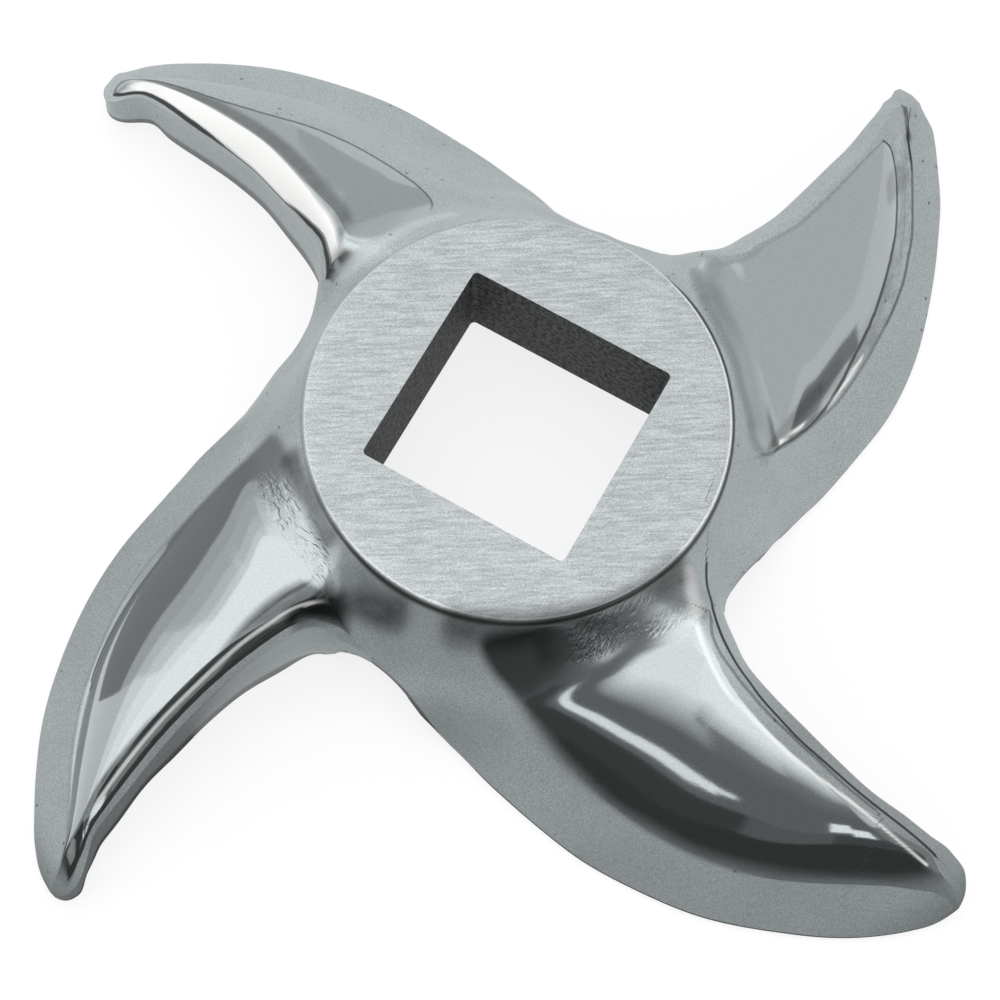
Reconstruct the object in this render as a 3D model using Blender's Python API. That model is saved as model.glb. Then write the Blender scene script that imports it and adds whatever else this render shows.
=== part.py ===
"""Meat grinder knife: one stainless casting with a square-holed hub and four swept arms.

Metres, +Z up. The origin is on the hub's axis, in the cutting plane that the arms' undersides share, so
the knife lies on that plane. X and Y run along the sides of the square hole. The casting is a lofted
blank, and the hole and the recess behind the hub are cut from it, as they are machined on the real one.
"""

import math

import bmesh
import bpy

MM = 0.001

# Hub and drive hole
HOLE_SIDE = 17.5 * MM
HOLE_CORNER_RADIUS = 0.4 * MM
HUB_DIAMETER = 33.0 * MM
HUB_LENGTH = 9.8 * MM
RIM_CHAMFER = 0.25 * MM

# Recess turned in the back, which sets the hub off the plate that the knife runs on
RECESS_DEPTH = 4.7 * MM
RECESS_DIAMETER = 42.4 * MM
RECESS_FLOOR_RADIUS = 1.5 * MM

# Arms
ARM_COUNT = 4
TIP_CIRCLE_DIAMETER = 99.2 * MM
VALLEY_CIRCLE_DIAMETER = 40.6 * MM
VALLEY_LIP = 1.1 * MM
VALLEY_DEGREES = -3.5
RIDGE_HEIGHT = 13.5 * MM
CREASE_HEIGHT = 3.1 * MM
TRAILING_EDGE_THICKNESS = 0.6 * MM
FACE_CROWN = 1.3 * MM
RIDGE_OVERHANG = 0.7 * MM

# How finely the loft is drawn
BAND_STEPS = 4
FACE_STEPS = 10
NOSE_STEPS = 4
HOLLOW_STEPS = 3
ROOT_STEPS = 5
HOLE_CORNER_STEPS = 4
RECESS_STEPS = 96
FLOOR_FILLET_STEPS = 4

# Guide curves of one arm, each a row of (share of the reach, degrees from the valley before the arm).
# The reach runs from the valley circle to the tip circle, and the next valley is at 90 degrees.
TRAILING_EDGE_SHARES = (
    (0.0, 0.0), (0.0035, 3.7), (0.014, 7.4), (0.03, 11.1), (0.07, 17.7), (0.133, 24.9), (0.333, 39.2),
    (0.545, 50.4), (0.743, 60.7), (0.839, 65.7), (0.9, 69.1), (0.948, 72.1), (0.973, 73.7), (0.987, 74.9),
    (0.997, 76.3), (1.0, 76.9),
)
CREASE_SHARES = (
    (0.0, 33.5), (0.133, 40.0), (0.265, 46.5), (0.415, 53.3), (0.55, 58.8), (0.72, 67.5), (0.835, 72.9),
    (0.925, 76.1), (1.0, 77.2),
)
RIDGE_SHARES = (
    (0.0, 77.0), (0.03, 75.7), (0.06, 74.4), (0.125, 72.8), (0.25, 71.7), (0.365, 71.8), (0.512, 72.8),
    (0.66, 74.2), (0.81, 75.7), (0.93, 77.3), (1.0, 77.5),
)
LEADING_EDGE_SHARES = (
    (0.0, 90.0), (0.0035, 87.1), (0.014, 84.2), (0.03, 81.4), (0.056, 78.7), (0.125, 75.5), (0.208, 74.0),
    (0.365, 73.6), (0.512, 74.3), (0.66, 75.5), (0.8, 76.6), (0.84, 77.1), (0.87, 78.3), (0.9, 79.1),
    (0.93, 79.4), (0.965, 79.2), (0.99, 78.6), (1.0, 77.8),
)

# Heights along the reach, each a row of (share of the reach, share of the named height).
RIDGE_HEIGHT_SHARES = (
    (0.0, 1.0), (0.125, 0.96), (0.365, 0.86), (0.55, 0.76), (0.75, 0.62),
    (0.87, 0.45), (0.93, 0.33), (0.975, 0.22), (1.0, 0.13),
)
CREASE_HEIGHT_SHARES = (
    (0.0, 2.45), (0.06, 2.1), (0.14, 1.6), (0.27, 1.12), (0.5, 1.0), (0.83, 1.0), (0.93, 1.1), (1.0, 0.5),
)
OVERHANG_SHARES = ((0.0, 0.0), (0.06, 0.1), (0.16, 0.8), (0.3, 1.0), (0.75, 1.0), (0.87, 0.3), (1.0, 0.0))
CROWN_SHARES = ((0.0, 0.5), (0.15, 1.0), (0.6, 1.0), (0.85, 0.6), (0.95, 0.1), (1.0, 0.0))
# The trailing edge, the top of the leading wall and the overhang start at the valley's lip, as shares of
# the way to what each keeps along the arm.
EDGE_DROP_SHARES = ((0.0, 0.0), (0.03, 0.05), (0.055, 0.5), (0.08, 0.85), (0.14, 1.0), (1.0, 1.0))
WALL_RISE_SHARES = ((0.0, 0.0), (0.014, 0.3), (0.06, 0.8), (0.125, 1.0), (1.0, 1.0))
WALL_TOP_SHARE = 0.45
OVERHANG_HEIGHT_SHARE = 0.84
STATION_SHARES = (
    0.0, 0.0035, 0.014, 0.03, 0.055, 0.08, 0.105, 0.14, 0.185, 0.24, 0.3, 0.37, 0.44, 0.51, 0.58, 0.65,
    0.715, 0.775, 0.82, 0.845, 0.87, 0.9, 0.93, 0.955, 0.975, 0.99, 1.0,
)
ROOT_FILLET_POWER = 1.7

# Cutters run this far past the faces that they cut.
OVERRUN = 2.0 * MM
WELD_DISTANCE = 0.001 * MM

TOTAL_HEIGHT = RECESS_DEPTH + HUB_LENGTH
HUB_RADIUS = HUB_DIAMETER / 2
VALLEY_RADIUS = VALLEY_CIRCLE_DIAMETER / 2
REACH = TIP_CIRCLE_DIAMETER / 2 - VALLEY_RADIUS
VALLEY_HEIGHT = RECESS_DEPTH + VALLEY_LIP
ARM_PITCH = math.tau / ARM_COUNT
QUARTER_DEGREES = 90.0
WALL_STEPS = NOSE_STEPS + HOLLOW_STEPS


def curve_value(rows, share):
    """The value at a share along a guide curve, on a smooth curve through its rows."""
    last = len(rows) - 1
    start = 0
    while start < last - 1 and share > rows[start + 1][0]:
        start += 1
    before = rows[max(start - 1, 0)]
    here = rows[start]
    after = rows[start + 1]
    beyond = rows[min(start + 2, last)]
    span = after[0] - here[0]
    part = (share - here[0]) / span
    slope_here = (after[1] - before[1]) / (after[0] - before[0]) * span
    slope_after = (beyond[1] - here[1]) / (beyond[0] - here[0]) * span
    return (
        here[1] * (1 + 2 * part) * (1 - part) ** 2
        + slope_here * part * (1 - part) ** 2
        + after[1] * part ** 2 * (3 - 2 * part)
        + slope_after * part ** 2 * (part - 1)
    )


def between(first, second, share):
    return first + (second - first) * share


def eased(share):
    """A share that starts and ends gently."""
    return (1 - math.cos(math.pi * share)) / 2


def arm_angle(rows, share):
    """A guide curve's angle, squeezed or spread with the pitch of the arms."""
    return math.radians(VALLEY_DEGREES) + ARM_PITCH * curve_value(rows, share) / QUARTER_DEGREES


def leading_side(share, ridge, leading, ridge_height):
    """The points from the ridge down to the top of the leading wall, as (angle, height)."""
    grown = curve_value(WALL_RISE_SHARES, share)
    radius = VALLEY_RADIUS + REACH * share
    lip = leading + RIDGE_OVERHANG * curve_value(OVERHANG_SHARES, share) / radius
    lip_height = ridge_height * OVERHANG_HEIGHT_SHARE
    wall_height = ridge_height * WALL_TOP_SHARE
    wall = []
    for step in range(1, NOSE_STEPS + 1):
        turn = math.pi / 2 * step / NOSE_STEPS
        wall.append((between(ridge, lip, math.sin(turn)), between(lip_height, ridge_height, math.cos(turn))))
    for step in range(1, HOLLOW_STEPS + 1):
        part = step / HOLLOW_STEPS
        wall.append((between(lip, leading, eased(part)), between(lip_height, wall_height, part)))
    points = []
    for step, (angle, height) in enumerate(wall, start=1):
        part = step / WALL_STEPS
        saddle_angle = between(ridge, leading, part)
        saddle_height = between(ridge_height, VALLEY_HEIGHT, eased(part))
        points.append((between(saddle_angle, angle, grown), between(saddle_height, height, grown)))
    return points


def section(share):
    """The arm's top at one station, as (angle, height) from the trailing edge over the ridge to the wall."""
    trailing = arm_angle(TRAILING_EDGE_SHARES, share)
    crease = arm_angle(CREASE_SHARES, share)
    ridge = arm_angle(RIDGE_SHARES, share)
    leading = arm_angle(LEADING_EDGE_SHARES, share)
    edge_height = between(VALLEY_HEIGHT, TRAILING_EDGE_THICKNESS, curve_value(EDGE_DROP_SHARES, share))
    crease_height = CREASE_HEIGHT * curve_value(CREASE_HEIGHT_SHARES, share)
    ridge_height = RIDGE_HEIGHT * curve_value(RIDGE_HEIGHT_SHARES, share)
    crown = FACE_CROWN * curve_value(CROWN_SHARES, share)
    points = []
    for step in range(BAND_STEPS):
        part = step / BAND_STEPS
        points.append((between(trailing, crease, part), between(edge_height, crease_height, part)))
    for step in range(FACE_STEPS + 1):
        part = step / FACE_STEPS
        height = between(crease_height, ridge_height, part) + crown * 4 * part * (1 - part)
        points.append((between(crease, ridge, part), height))
    return points + leading_side(share, ridge, leading, ridge_height)


def polar(radius, angle, height):
    return (radius * math.cos(angle), radius * math.sin(angle), height)


def root_rows():
    """Rows of the quarter between the hub's rim and the valley circle, from the rim outwards."""
    outer = section(0.0)
    steps = len(outer) - 1
    first = outer[0][0]
    even = [first + ARM_PITCH * step / steps for step in range(steps + 1)]
    rows = [[polar(HUB_RADIUS - RIM_CHAMFER, angle, TOTAL_HEIGHT) for angle in even]]
    rim_height = TOTAL_HEIGHT - RIM_CHAMFER
    for row in range(ROOT_STEPS):
        part = row / ROOT_STEPS
        radius = between(HUB_RADIUS, VALLEY_RADIUS, part)
        points = []
        for start, (angle, height) in zip(even, outer):
            fall = (1 - part) ** ROOT_FILLET_POWER
            points.append(polar(radius, between(start, angle, part), between(height, rim_height, fall)))
        rows.append(points)
    return rows


def arm_rows():
    """Rows of the arm from the valley circle to the tip, each from one bottom edge over to the other."""
    rows = []
    for share in STATION_SHARES:
        radius = VALLEY_RADIUS + REACH * share
        top = section(share)
        points = [polar(radius, top[0][0], 0.0)]
        points += [polar(radius, angle, height) for angle, height in top]
        points.append(polar(radius, top[-1][0], 0.0))
        rows.append(points)
    return rows


def bridge(mesh, rows):
    """Quads between neighbouring rows of vertices."""
    for inner, outer in zip(rows, rows[1:]):
        for place in range(len(inner) - 1):
            corners = (inner[place], outer[place], outer[place + 1], inner[place + 1])
            mesh.faces.new(corners)


def add_sector(mesh, turn):
    """One arm with its share of the hub's side. Returns the vertices of its rim and of its bottom edge."""
    cosine = math.cos(turn)
    sine = math.sin(turn)

    def placed(rows):
        return [
            [mesh.verts.new((x * cosine - y * sine, x * sine + y * cosine, z)) for x, y, z in row]
            for row in rows
        ]

    root = placed(root_rows())
    arm = placed(arm_rows())
    bridge(mesh, root + [arm[0][1:-1]])
    bridge(mesh, arm)
    mesh.faces.new(arm[-1])
    trailing = [row[0] for row in arm]
    leading = [row[-1] for row in reversed(arm)]
    return root[0], trailing + leading


def blank_mesh():
    """The casting before machining: four sectors welded round the axis, closed above and below."""
    mesh = bmesh.new()
    rim = []
    bottom = []
    for arm in range(ARM_COUNT):
        sector_rim, sector_bottom = add_sector(mesh, ARM_PITCH * arm)
        rim += sector_rim[:-1]
        bottom += sector_bottom[:-1]
    mesh.faces.new(rim)
    mesh.faces.new(bottom[::-1])
    bmesh.ops.remove_doubles(mesh, verts=mesh.verts, dist=WELD_DISTANCE)
    bmesh.ops.recalc_face_normals(mesh, faces=mesh.faces)
    return mesh


def rounded_square(side, radius, steps):
    """Corner points of a square with rounded corners, counterclockwise."""
    inset = side / 2 - radius
    points = []
    for corner in range(4):
        middle = math.tau / 8 + math.tau / 4 * corner
        centre_x = math.copysign(inset, math.cos(middle))
        centre_y = math.copysign(inset, math.sin(middle))
        for step in range(steps + 1):
            angle = middle + math.tau / 4 * (step / steps - 1 / 2)
            points.append((centre_x + radius * math.cos(angle), centre_y + radius * math.sin(angle)))
    return points


def hole_mesh():
    """The drive hole's cutter: a square bar through the hub."""
    mesh = bmesh.new()
    outline = rounded_square(HOLE_SIDE, HOLE_CORNER_RADIUS, HOLE_CORNER_STEPS)
    base = mesh.faces.new([mesh.verts.new((x, y, -OVERRUN)) for x, y in outline])
    sides = bmesh.ops.extrude_face_region(mesh, geom=[base])
    top = [item for item in sides["geom"] if isinstance(item, bmesh.types.BMVert)]
    bmesh.ops.translate(mesh, verts=top, vec=(0.0, 0.0, TOTAL_HEIGHT + OVERRUN * 2))
    bmesh.ops.recalc_face_normals(mesh, faces=mesh.faces)
    return mesh


def recess_mesh():
    """The recess's cutter: a turned plug whose flat end meets its side in a fillet."""
    radius = RECESS_DIAMETER / 2
    profile = [(0.0, RECESS_DEPTH)]
    for step in range(FLOOR_FILLET_STEPS + 1):
        turn = math.pi / 2 * step / FLOOR_FILLET_STEPS
        across = radius - RECESS_FLOOR_RADIUS * (1 - math.sin(turn))
        up = RECESS_DEPTH - RECESS_FLOOR_RADIUS * (1 - math.cos(turn))
        profile.append((across, up))
    profile.append((radius, -OVERRUN))
    profile.append((0.0, -OVERRUN))
    mesh = bmesh.new()
    verts = [mesh.verts.new((across, 0.0, up)) for across, up in profile]
    edges = [mesh.edges.new(pair) for pair in zip(verts, verts[1:])]
    bmesh.ops.spin(
        mesh, geom=verts + edges, axis=(0, 0, 1), cent=(0, 0, 0), angle=math.tau, steps=RECESS_STEPS
    )
    bmesh.ops.remove_doubles(mesh, verts=mesh.verts, dist=WELD_DISTANCE)
    bmesh.ops.recalc_face_normals(mesh, faces=mesh.faces)
    return mesh


def new_object(name, mesh):
    data = bpy.data.meshes.new(name)
    mesh.to_mesh(data)
    mesh.free()
    made = bpy.data.objects.new(name, data)
    bpy.context.scene.collection.objects.link(made)
    return made


def add_cut(body, cutter):
    cutter.hide_render = True
    cutter.display_type = "WIRE"
    cut = body.modifiers.new(cutter.name, "BOOLEAN")
    cut.operation = "DIFFERENCE"
    cut.solver = "EXACT"
    cut.object = cutter


def steel():
    material = bpy.data.materials.new("ground_stainless_steel")
    material.use_nodes = True
    shader = material.node_tree.nodes["Principled BSDF"]
    shader.inputs["Base Color"].default_value = (0.56, 0.57, 0.58, 1.0)
    shader.inputs["Metallic"].default_value = 1.0
    shader.inputs["Roughness"].default_value = 0.3
    return material


def clear_scene():
    for item in list(bpy.data.objects):
        bpy.data.objects.remove(item, do_unlink=True)


def main():
    clear_scene()
    knife = new_object("knife", blank_mesh())
    knife.data.materials.append(steel())
    knife.data.shade_smooth()
    knife.data.set_sharp_from_angle(angle=math.radians(30))
    add_cut(knife, new_object("hole_cutter", hole_mesh()))
    add_cut(knife, new_object("recess_cutter", recess_mesh()))


main()
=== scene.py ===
"""Looks of the meat grinder knife: the casting with its polished and satin faces, the camera and the stage.

Everything is in metres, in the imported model's frame: the origin is on the hub's axis in the cutting plane,
+Z is up, and X and Y run along the sides of the square hole. The casting is one piece. One sector of it, an
arm with its quarter of the hub, is lofted here, and a Geometry Nodes tree repeats it round the axis.
"""

import math
from functools import partial

import bmesh
import bpy
import numpy as np
from bpy.props import FloatProperty, FloatVectorProperty, IntProperty, PointerProperty
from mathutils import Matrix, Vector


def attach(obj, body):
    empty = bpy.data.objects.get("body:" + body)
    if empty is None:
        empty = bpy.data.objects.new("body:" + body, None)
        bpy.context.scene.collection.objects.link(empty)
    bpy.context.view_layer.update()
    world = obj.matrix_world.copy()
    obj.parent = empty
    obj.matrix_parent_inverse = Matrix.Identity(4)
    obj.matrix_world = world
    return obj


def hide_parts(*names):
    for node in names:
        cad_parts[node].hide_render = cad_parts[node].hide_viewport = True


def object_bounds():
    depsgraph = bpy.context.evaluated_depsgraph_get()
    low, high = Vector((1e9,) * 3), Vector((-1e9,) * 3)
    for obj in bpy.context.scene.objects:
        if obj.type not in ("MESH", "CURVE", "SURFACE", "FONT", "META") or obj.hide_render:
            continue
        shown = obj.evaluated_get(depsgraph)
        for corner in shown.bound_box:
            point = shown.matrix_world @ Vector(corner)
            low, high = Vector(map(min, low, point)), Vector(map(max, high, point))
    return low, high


bl_info = {
    "name": "Meat Grinder Knife",
    "version": (1, 0, 0),
    "blender": (4, 5, 0),
    "location": "View3D > Sidebar > Knife",
    "description": "Builds a meat grinder knife with its finishes, a camera and a pale stage",
    "category": "Object",
}

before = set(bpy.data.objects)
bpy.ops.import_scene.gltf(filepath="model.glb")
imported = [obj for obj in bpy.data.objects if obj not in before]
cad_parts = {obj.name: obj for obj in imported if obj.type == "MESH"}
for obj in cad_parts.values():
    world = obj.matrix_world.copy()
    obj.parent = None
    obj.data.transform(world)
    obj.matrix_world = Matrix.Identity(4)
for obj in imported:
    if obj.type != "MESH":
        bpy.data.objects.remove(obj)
CAD_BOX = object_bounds()
NODE = "knife"
BODY = "root"
MM = 0.001
WHITE = (1, 1, 1, 1)

# How finely the casting is drawn, in steps
BAND_STEPS = 14
FACE_STEPS = 56
NOSE_STEPS = 20
HOLLOW_STEPS = 10
SIDE_STEPS = 6
HOLE_WALL_STEPS = 32
HOLE_CORNER_STEPS = 8
HUB_TOP_STEPS = 7
RIM_STEPS = 3
ROOT_STEPS = 16
FLOOR_STEPS = 5
VALLEY_STATIONS = 10
ROOT_STATIONS = 14
ARM_STATIONS = 52
TIP_STATIONS = 26
WELD_DISTANCE = 2e-7
NOSE_END = BAND_STEPS + FACE_STEPS + NOSE_STEPS
WEB_SHARE = 0.03
SOFT_REACH = 0.3
ROOT_SOFTNESS = 0.8
RIDGE_SOFTNESS = 0.35
RIM_FADE = 0.8
UNDERCUT_SHARE = 0.2
UNDERCUTS = (1.2, -1.5)
# The sweep map: across runs 0 to 4 from the trailing edge to the foot of the nose, along is the share of the
# reach
SWEEP_MAP = "sweep"
HUB_ROW_SHARE = 0.01
SIDE_SHARE = 0.1

# Guide curves of one arm, each a row of (share of the reach, degrees from the valley before the arm)
TRAILING_EDGE_SHARES = (
    (0.0, 0.0), (0.0035, 3.7), (0.014, 7.4), (0.03, 11.1), (0.07, 17.7), (0.133, 24.9), (0.333, 39.2),
    (0.545, 50.4), (0.743, 60.7), (0.839, 65.7), (0.9, 69.1), (0.948, 72.1), (0.973, 73.7), (0.987, 74.9),
    (0.997, 76.3), (1.0, 76.9),
)
CREASE_SHARES = (
    (0.0, 33.5), (0.133, 40.0), (0.265, 46.5), (0.415, 53.3), (0.55, 58.8), (0.72, 67.5), (0.835, 72.9),
    (0.925, 76.1), (1.0, 77.2),
)
RIDGE_SHARES = (
    (0.0, 77.0), (0.03, 75.7), (0.06, 74.4), (0.125, 72.8), (0.25, 71.7), (0.365, 71.8), (0.512, 72.8),
    (0.66, 74.2), (0.81, 75.7), (0.93, 77.3), (1.0, 77.5),
)
LEADING_EDGE_SHARES = (
    (0.0, 90.0), (0.0035, 87.1), (0.014, 84.2), (0.03, 81.4), (0.056, 78.7), (0.125, 75.5), (0.208, 74.0),
    (0.365, 73.6), (0.512, 74.3), (0.66, 75.5), (0.8, 76.6), (0.84, 77.1), (0.87, 78.3), (0.9, 79.1),
    (0.93, 79.4), (0.965, 79.2), (0.99, 78.6), (1.0, 77.8),
)

# Heights along the reach, each a row of (share of the reach, share of the named height)
RIDGE_HEIGHT_SHARES = (
    (0.0, 1.0), (0.125, 0.96), (0.365, 0.86), (0.55, 0.76), (0.75, 0.62),
    (0.87, 0.45), (0.93, 0.33), (0.975, 0.22), (1.0, 0.13),
)
CREASE_HEIGHT_SHARES = (
    (0.0, 2.45), (0.06, 2.1), (0.14, 1.6), (0.27, 1.12), (0.5, 1.0), (0.83, 1.0), (0.93, 1.1), (1.0, 0.5),
)
OVERHANG_SHARES = ((0.0, 0.0), (0.06, 0.1), (0.16, 0.8), (0.3, 1.0), (0.75, 1.0), (0.87, 0.3), (1.0, 0.0))
CROWN_SHARES = ((0.0, 0.5), (0.15, 1.0), (0.6, 1.0), (0.85, 0.6), (0.95, 0.1), (1.0, 0.0))
EDGE_DROP_SHARES = ((0.0, 0.0), (0.03, 0.05), (0.055, 0.5), (0.08, 0.85), (0.14, 1.0), (1.0, 1.0))
WALL_RISE_SHARES = ((0.0, 0.0), (0.014, 0.3), (0.06, 0.8), (0.125, 1.0), (1.0, 1.0))
WALL_TOP_SHARE = 0.45
OVERHANG_HEIGHT_SHARE = 0.84
ROOT_FILLET_POWER = 1.45
QUARTER_DEGREES = 90.0
FAIRING_STEPS = 9
OUTLINE_FAIRING = 0.02
FACE_FAIRING = 0.07
NOSE_ROUNDNESS = 0.15
DENSE_SHARE = 0.14
TIP_SHARE = 0.84

# A turn in radians that keeps a point on a seam with the arm after it
SEAM_SLACK = 1e-4
# The worked marks, painted highlights and painted shade lie above this height in mm, and up to these places
# across on the sweep map
POLISH_FLOOR = 2.0
POLISH_SIDE = 3.6
NOSE_SIDE = 3.05
FAR_FROM_POLISH = 9.0

# Spots per mm in the grain of the finishes
CLOUD_SCALE = 0.18
SPECKLE_SCALE = 8.5
FINE_SCALE = 5.0
RAGGED_SCALE = 0.8
CAST_SCALE = 2.4
PIT_SCALE = 0.45
# The brushing of the bands follows the sweep map
BRUSH_SCALE = 14.0
BRUSH_SIZE = (0.25, 0.83, 1.0)
# Length and width in mm of long marks, and which way they run in plan, in degrees back from X
SCRATCHES = ((2.0, 0.22, 1.0), 32)
DENTS = ((1.1, 0.28, 1.0), -21)
BRISTLES = ((0.8, 0.2, 1.0), 89)
STROKES = ((4.0, 0.9, 1.0), 64)
# Relief in mm
SATIN_RELIEF = 0.008
POLISH_RELIEF = 0.0012
HUB_RELIEF = 0.03
CAST_RELIEF = 0.22
PIT_DEPTH = 0.03
DENT_DEPTH = 0.05
BRISTLE_DEPTH = 0.03
LINE_DEPTH = 0.04
# Colours of the small dark places: pits, painted shade in the fillets and on the narrow sides, painted shade in
# the dark lines, and the hole's deepest cast spots
PIT_COLOUR = (0.06, 0.06, 0.06)
SHADE_COLOUR = (0.03, 0.032, 0.033)
NARROW_COLOUR = (0.04, 0.042, 0.042)
LINE_COLOUR = (0.02, 0.02, 0.02)
DEEP_COLOUR = (0.015, 0.016, 0.016)

# The photograph's camera
CAMERA_PLACE = (0.02498106, -0.05796349, 0.17747184)
CAMERA_TURN_DEGREES = (18.8778, -1.8441, 29.3511)
CAMERA_LENS = 82.0675

# The arms were trimmed by hand: how far each arm's two edges, and the foot of its leading wall, stand out
# past the plain shape, in mm at shares of the reach
TRIM_SHARES = (0.0, 0.08, 0.16, 0.28, 0.4, 0.52, 0.64, 0.76, 0.84, 0.9, 0.95, 1.0)
TRAILING_TRIMS = (
    (0, 0, -0.1, -0.1, 0.2, -0.35, -1.05, -1.25, -1, -0.8, -0.2, 0.75),
    (0, 0, -0.05, -0.15, -0.3, -0.3, -0.3, 0, 0.05, 0.25, 0.7, 1.25),
    (0, -0.4, -0.8, -0.95, -0.65, -0.75, -0.75, -0.6, -0.75, -0.65, -0.25, -0.05),
    (0, 0.1, 0.1, 0.25, 0.5, 0.15, 0.2, -0.1, -0.05, 0, 0.05, 0.15),
)
LEADING_TRIMS = (
    (0, -0.5, -0.15, -0.1, 0.2, 0.25, 0.1, 0.35, 0.45, -0.5, -0.2, 0.45),
    (0, 0, 0.3, 0.4, 0.3, 0.4, 0.4, 0.35, 0.3, 0.55, 0.05, -0.6),
    (0, 0.1, 0.3, 0.3, 0.3, 0.15, 0, -0.1, -0.2, -0.5, -0.35, -0.25),
    (0, 0.1, 0.1, 0.3, 0.55, 0.5, 0.4, 0.85, 1, 0.15, -0.1, -0.6),
)
FOOT_TRIMS = (
    (0, 0, 0, 0, 0, 0, 0, 0, 0, 0.4, 0, 0),
    (0, 0.5, 0.1, 0.05, -0.05, -0.15, -0.05, 0.05, -0.4, -0.4, 0.1, 0.3),
    (0, -0.05, -0.05, -0.2, -0.15, 0, -0.15, 0.1, 0, -0.35, 0, 0),
    (0, 0, 0, 0, 0, 0, 0, 0, 0, 0, 0, 0),
)
# How far the web stands out at each valley, in mm at degrees from it
VALLEY_TRIM_DEGREES = (-40, -30, -20, -10, 0, 10, 20, 30, 40)
VALLEY_TRIMS = (
    (0, 0, 0.8, 0.3, 0.25, 0.25, 0.05, 0.15, 0),
    (0, 0, 0.3, 0.5, 1, -0.1, 0.1, 0.85, 0),
    (0, 0, 0, -0.1, -0.35, -0.9, -0.25, 0.45, 0),
    (0, 0, -0.35, 0.1, 0.15, 0.25, 0.3, 0.25, 0),
)
VALLEY_TRIM_RADII = ((17.0, 20.3, 22.5, 27.0), (0, 1, 1, 0))
# How much of the leading edge's trim the crease and the ridge follow
TRIM_FOLLOW = ((0, 1, 2, 3), (0, 0.3, 0.9, 1))

# Outline of the polished part of each arm's top, as points in plan in mm, with the arm turned back onto the
# first. The arms are in order round the axis, and no two were ground alike. Past the ridge the next table
# ends it.
POLISH_OUTLINES = (
    (
        (6.3, 18.1), (8.3, 16.2), (10.1, 15.0), (12.2, 13.2), (13.9, 11.5), (15.6, 9.7), (17.5, 8.8),
        (18.4, 11.0), (19.6, 14.7), (20.0, 18.6), (19.9, 22.0), (19.8, 24.7), (19.5, 27.0), (19.1, 28.9),
        (18.4, 31.7), (17.6, 33.9), (16.2, 36.5), (15.0, 38.0), (13.9, 38.6), (11.6, 37.0), (10.0, 31.0),
        (8.0, 25.0), (6.0, 20.5),
    ),
    (
        (13.3, 44.7), (13.4, 42.4), (13.4, 38.5), (13.6, 35.0), (14.3, 31.1), (15.2, 27.6), (15.6, 24.1),
        (15.4, 20.8), (14.7, 17.4), (13.7, 15.6), (12.2, 15.2), (9.9, 16.0), (7.9, 17.0), (5.7, 18.1),
        (4.4, 18.8), (3.0, 20.0), (5.0, 25.0), (7.0, 31.0), (8.5, 37.0), (10.0, 43.0), (12.0, 45.4),
    ),
    (
        (16.2, 9.6), (17.3, 10.6), (18.4, 12.8), (19.6, 15.6), (20.5, 18.6), (21.1, 21.8), (21.2, 25.0),
        (20.9, 28.2), (20.3, 31.4), (19.4, 34.4), (18.2, 37.2), (16.8, 39.8), (15.6, 41.8), (14.6, 43.4),
        (13.6, 45.4), (12.0, 46.0), (10.0, 43.0), (9.0, 36.0), (7.0, 29.0), (4.0, 23.0), (0.5, 18.6),
        (1.5, 17.3), (5.1, 16.1), (7.9, 14.8), (10.6, 13.4), (13.5, 11.3),
    ),
    (
        (3.0, 17.1), (4.0, 19.6), (5.0, 22.0), (7.4, 27.0), (9.0, 33.0), (9.6, 39.0), (10.4, 44.0),
        (12.2, 46.0), (14.4, 43.8), (16.3, 40.6), (18.1, 37.1), (19.6, 33.4), (20.6, 29.5), (21.0, 26.7),
        (21.0, 23.6), (20.9, 20.5), (20.4, 17.8), (19.7, 14.9), (18.9, 12.6), (18.0, 9.9), (17.5, 7.7),
        (16.9, 6.4), (16.2, 6.3), (15.4, 7.3), (14.3, 8.7), (12.9, 10.2), (10.4, 12.6), (7.9, 14.6),
        (5.4, 16.0), (3.8, 16.6),
    ),
)
# How far over the nose the polish reaches on each arm, as (share of the reach, place across on the sweep map)
POLISH_ENDS = (
    ((-0.2, 4.0), (-0.05, 2.3), (0.02, 1.95), (0.62, 1.94), (0.72, 1.85), (1.0, 1.8)),
    (
        (-0.2, 4.0), (-0.06, 2.7), (0.0, 2.4), (0.12, 2.79), (0.24, 3.1), (0.42, 3.15), (0.6, 2.82),
        (0.75, 2.62), (0.84, 2.6), (1.0, 2.4),
    ),
    (
        (-0.2, 2.2), (-0.1, 2.5), (-0.04, 2.7), (0.03, 2.7), (0.09, 2.56), (0.61, 2.52), (0.87, 2.5),
        (1.0, 2.3),
    ),
    ((-0.2, 4.0), (-0.05, 2.3), (0.02, 1.93), (0.8, 1.93), (1.0, 2.1)),
)
# Girth in mm from the ridge at places across on the sweep map
GIRTHS = ((0, 1, 2, 3, 4, 5), (-13, -9, 0, 2, 6, 12))
# How dark the painted shade is in the line round each arm's polished part on its face, and where the polish
# ends on the nose
OUTLINE_LINES = (0.8, 0.65, 0.2, 0.0)
NOSE_LINES = (0.25, 0.95, 0.97, 0.0)
NOSE_LINE_WIDTHS = (0.14, 0.26, 0.24, 0.14)
# Shares of the reach between which those lines grow out of the fillet
OUTLINE_STARTS = ((-0.02, 0.02), (-0.03, 0.02), (0.0, 0.1), (0.0, 0.1))
NOSE_LINE_STARTS = ((0.0, 0.1), (-0.05, -0.01), (0.08, 0.1), (0.0, 0.1))
ROOT_FADE = 0.5
OUTLINE_WIDTH = 0.15
# Half the width in mm over which the polish fades into the satin
OUTLINE_FADES = (0.1, 0.1, 0.25, 0.9)
NOSE_FADE = 0.05
OUTLINE_POINTS_PER_SPAN = 6
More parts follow.
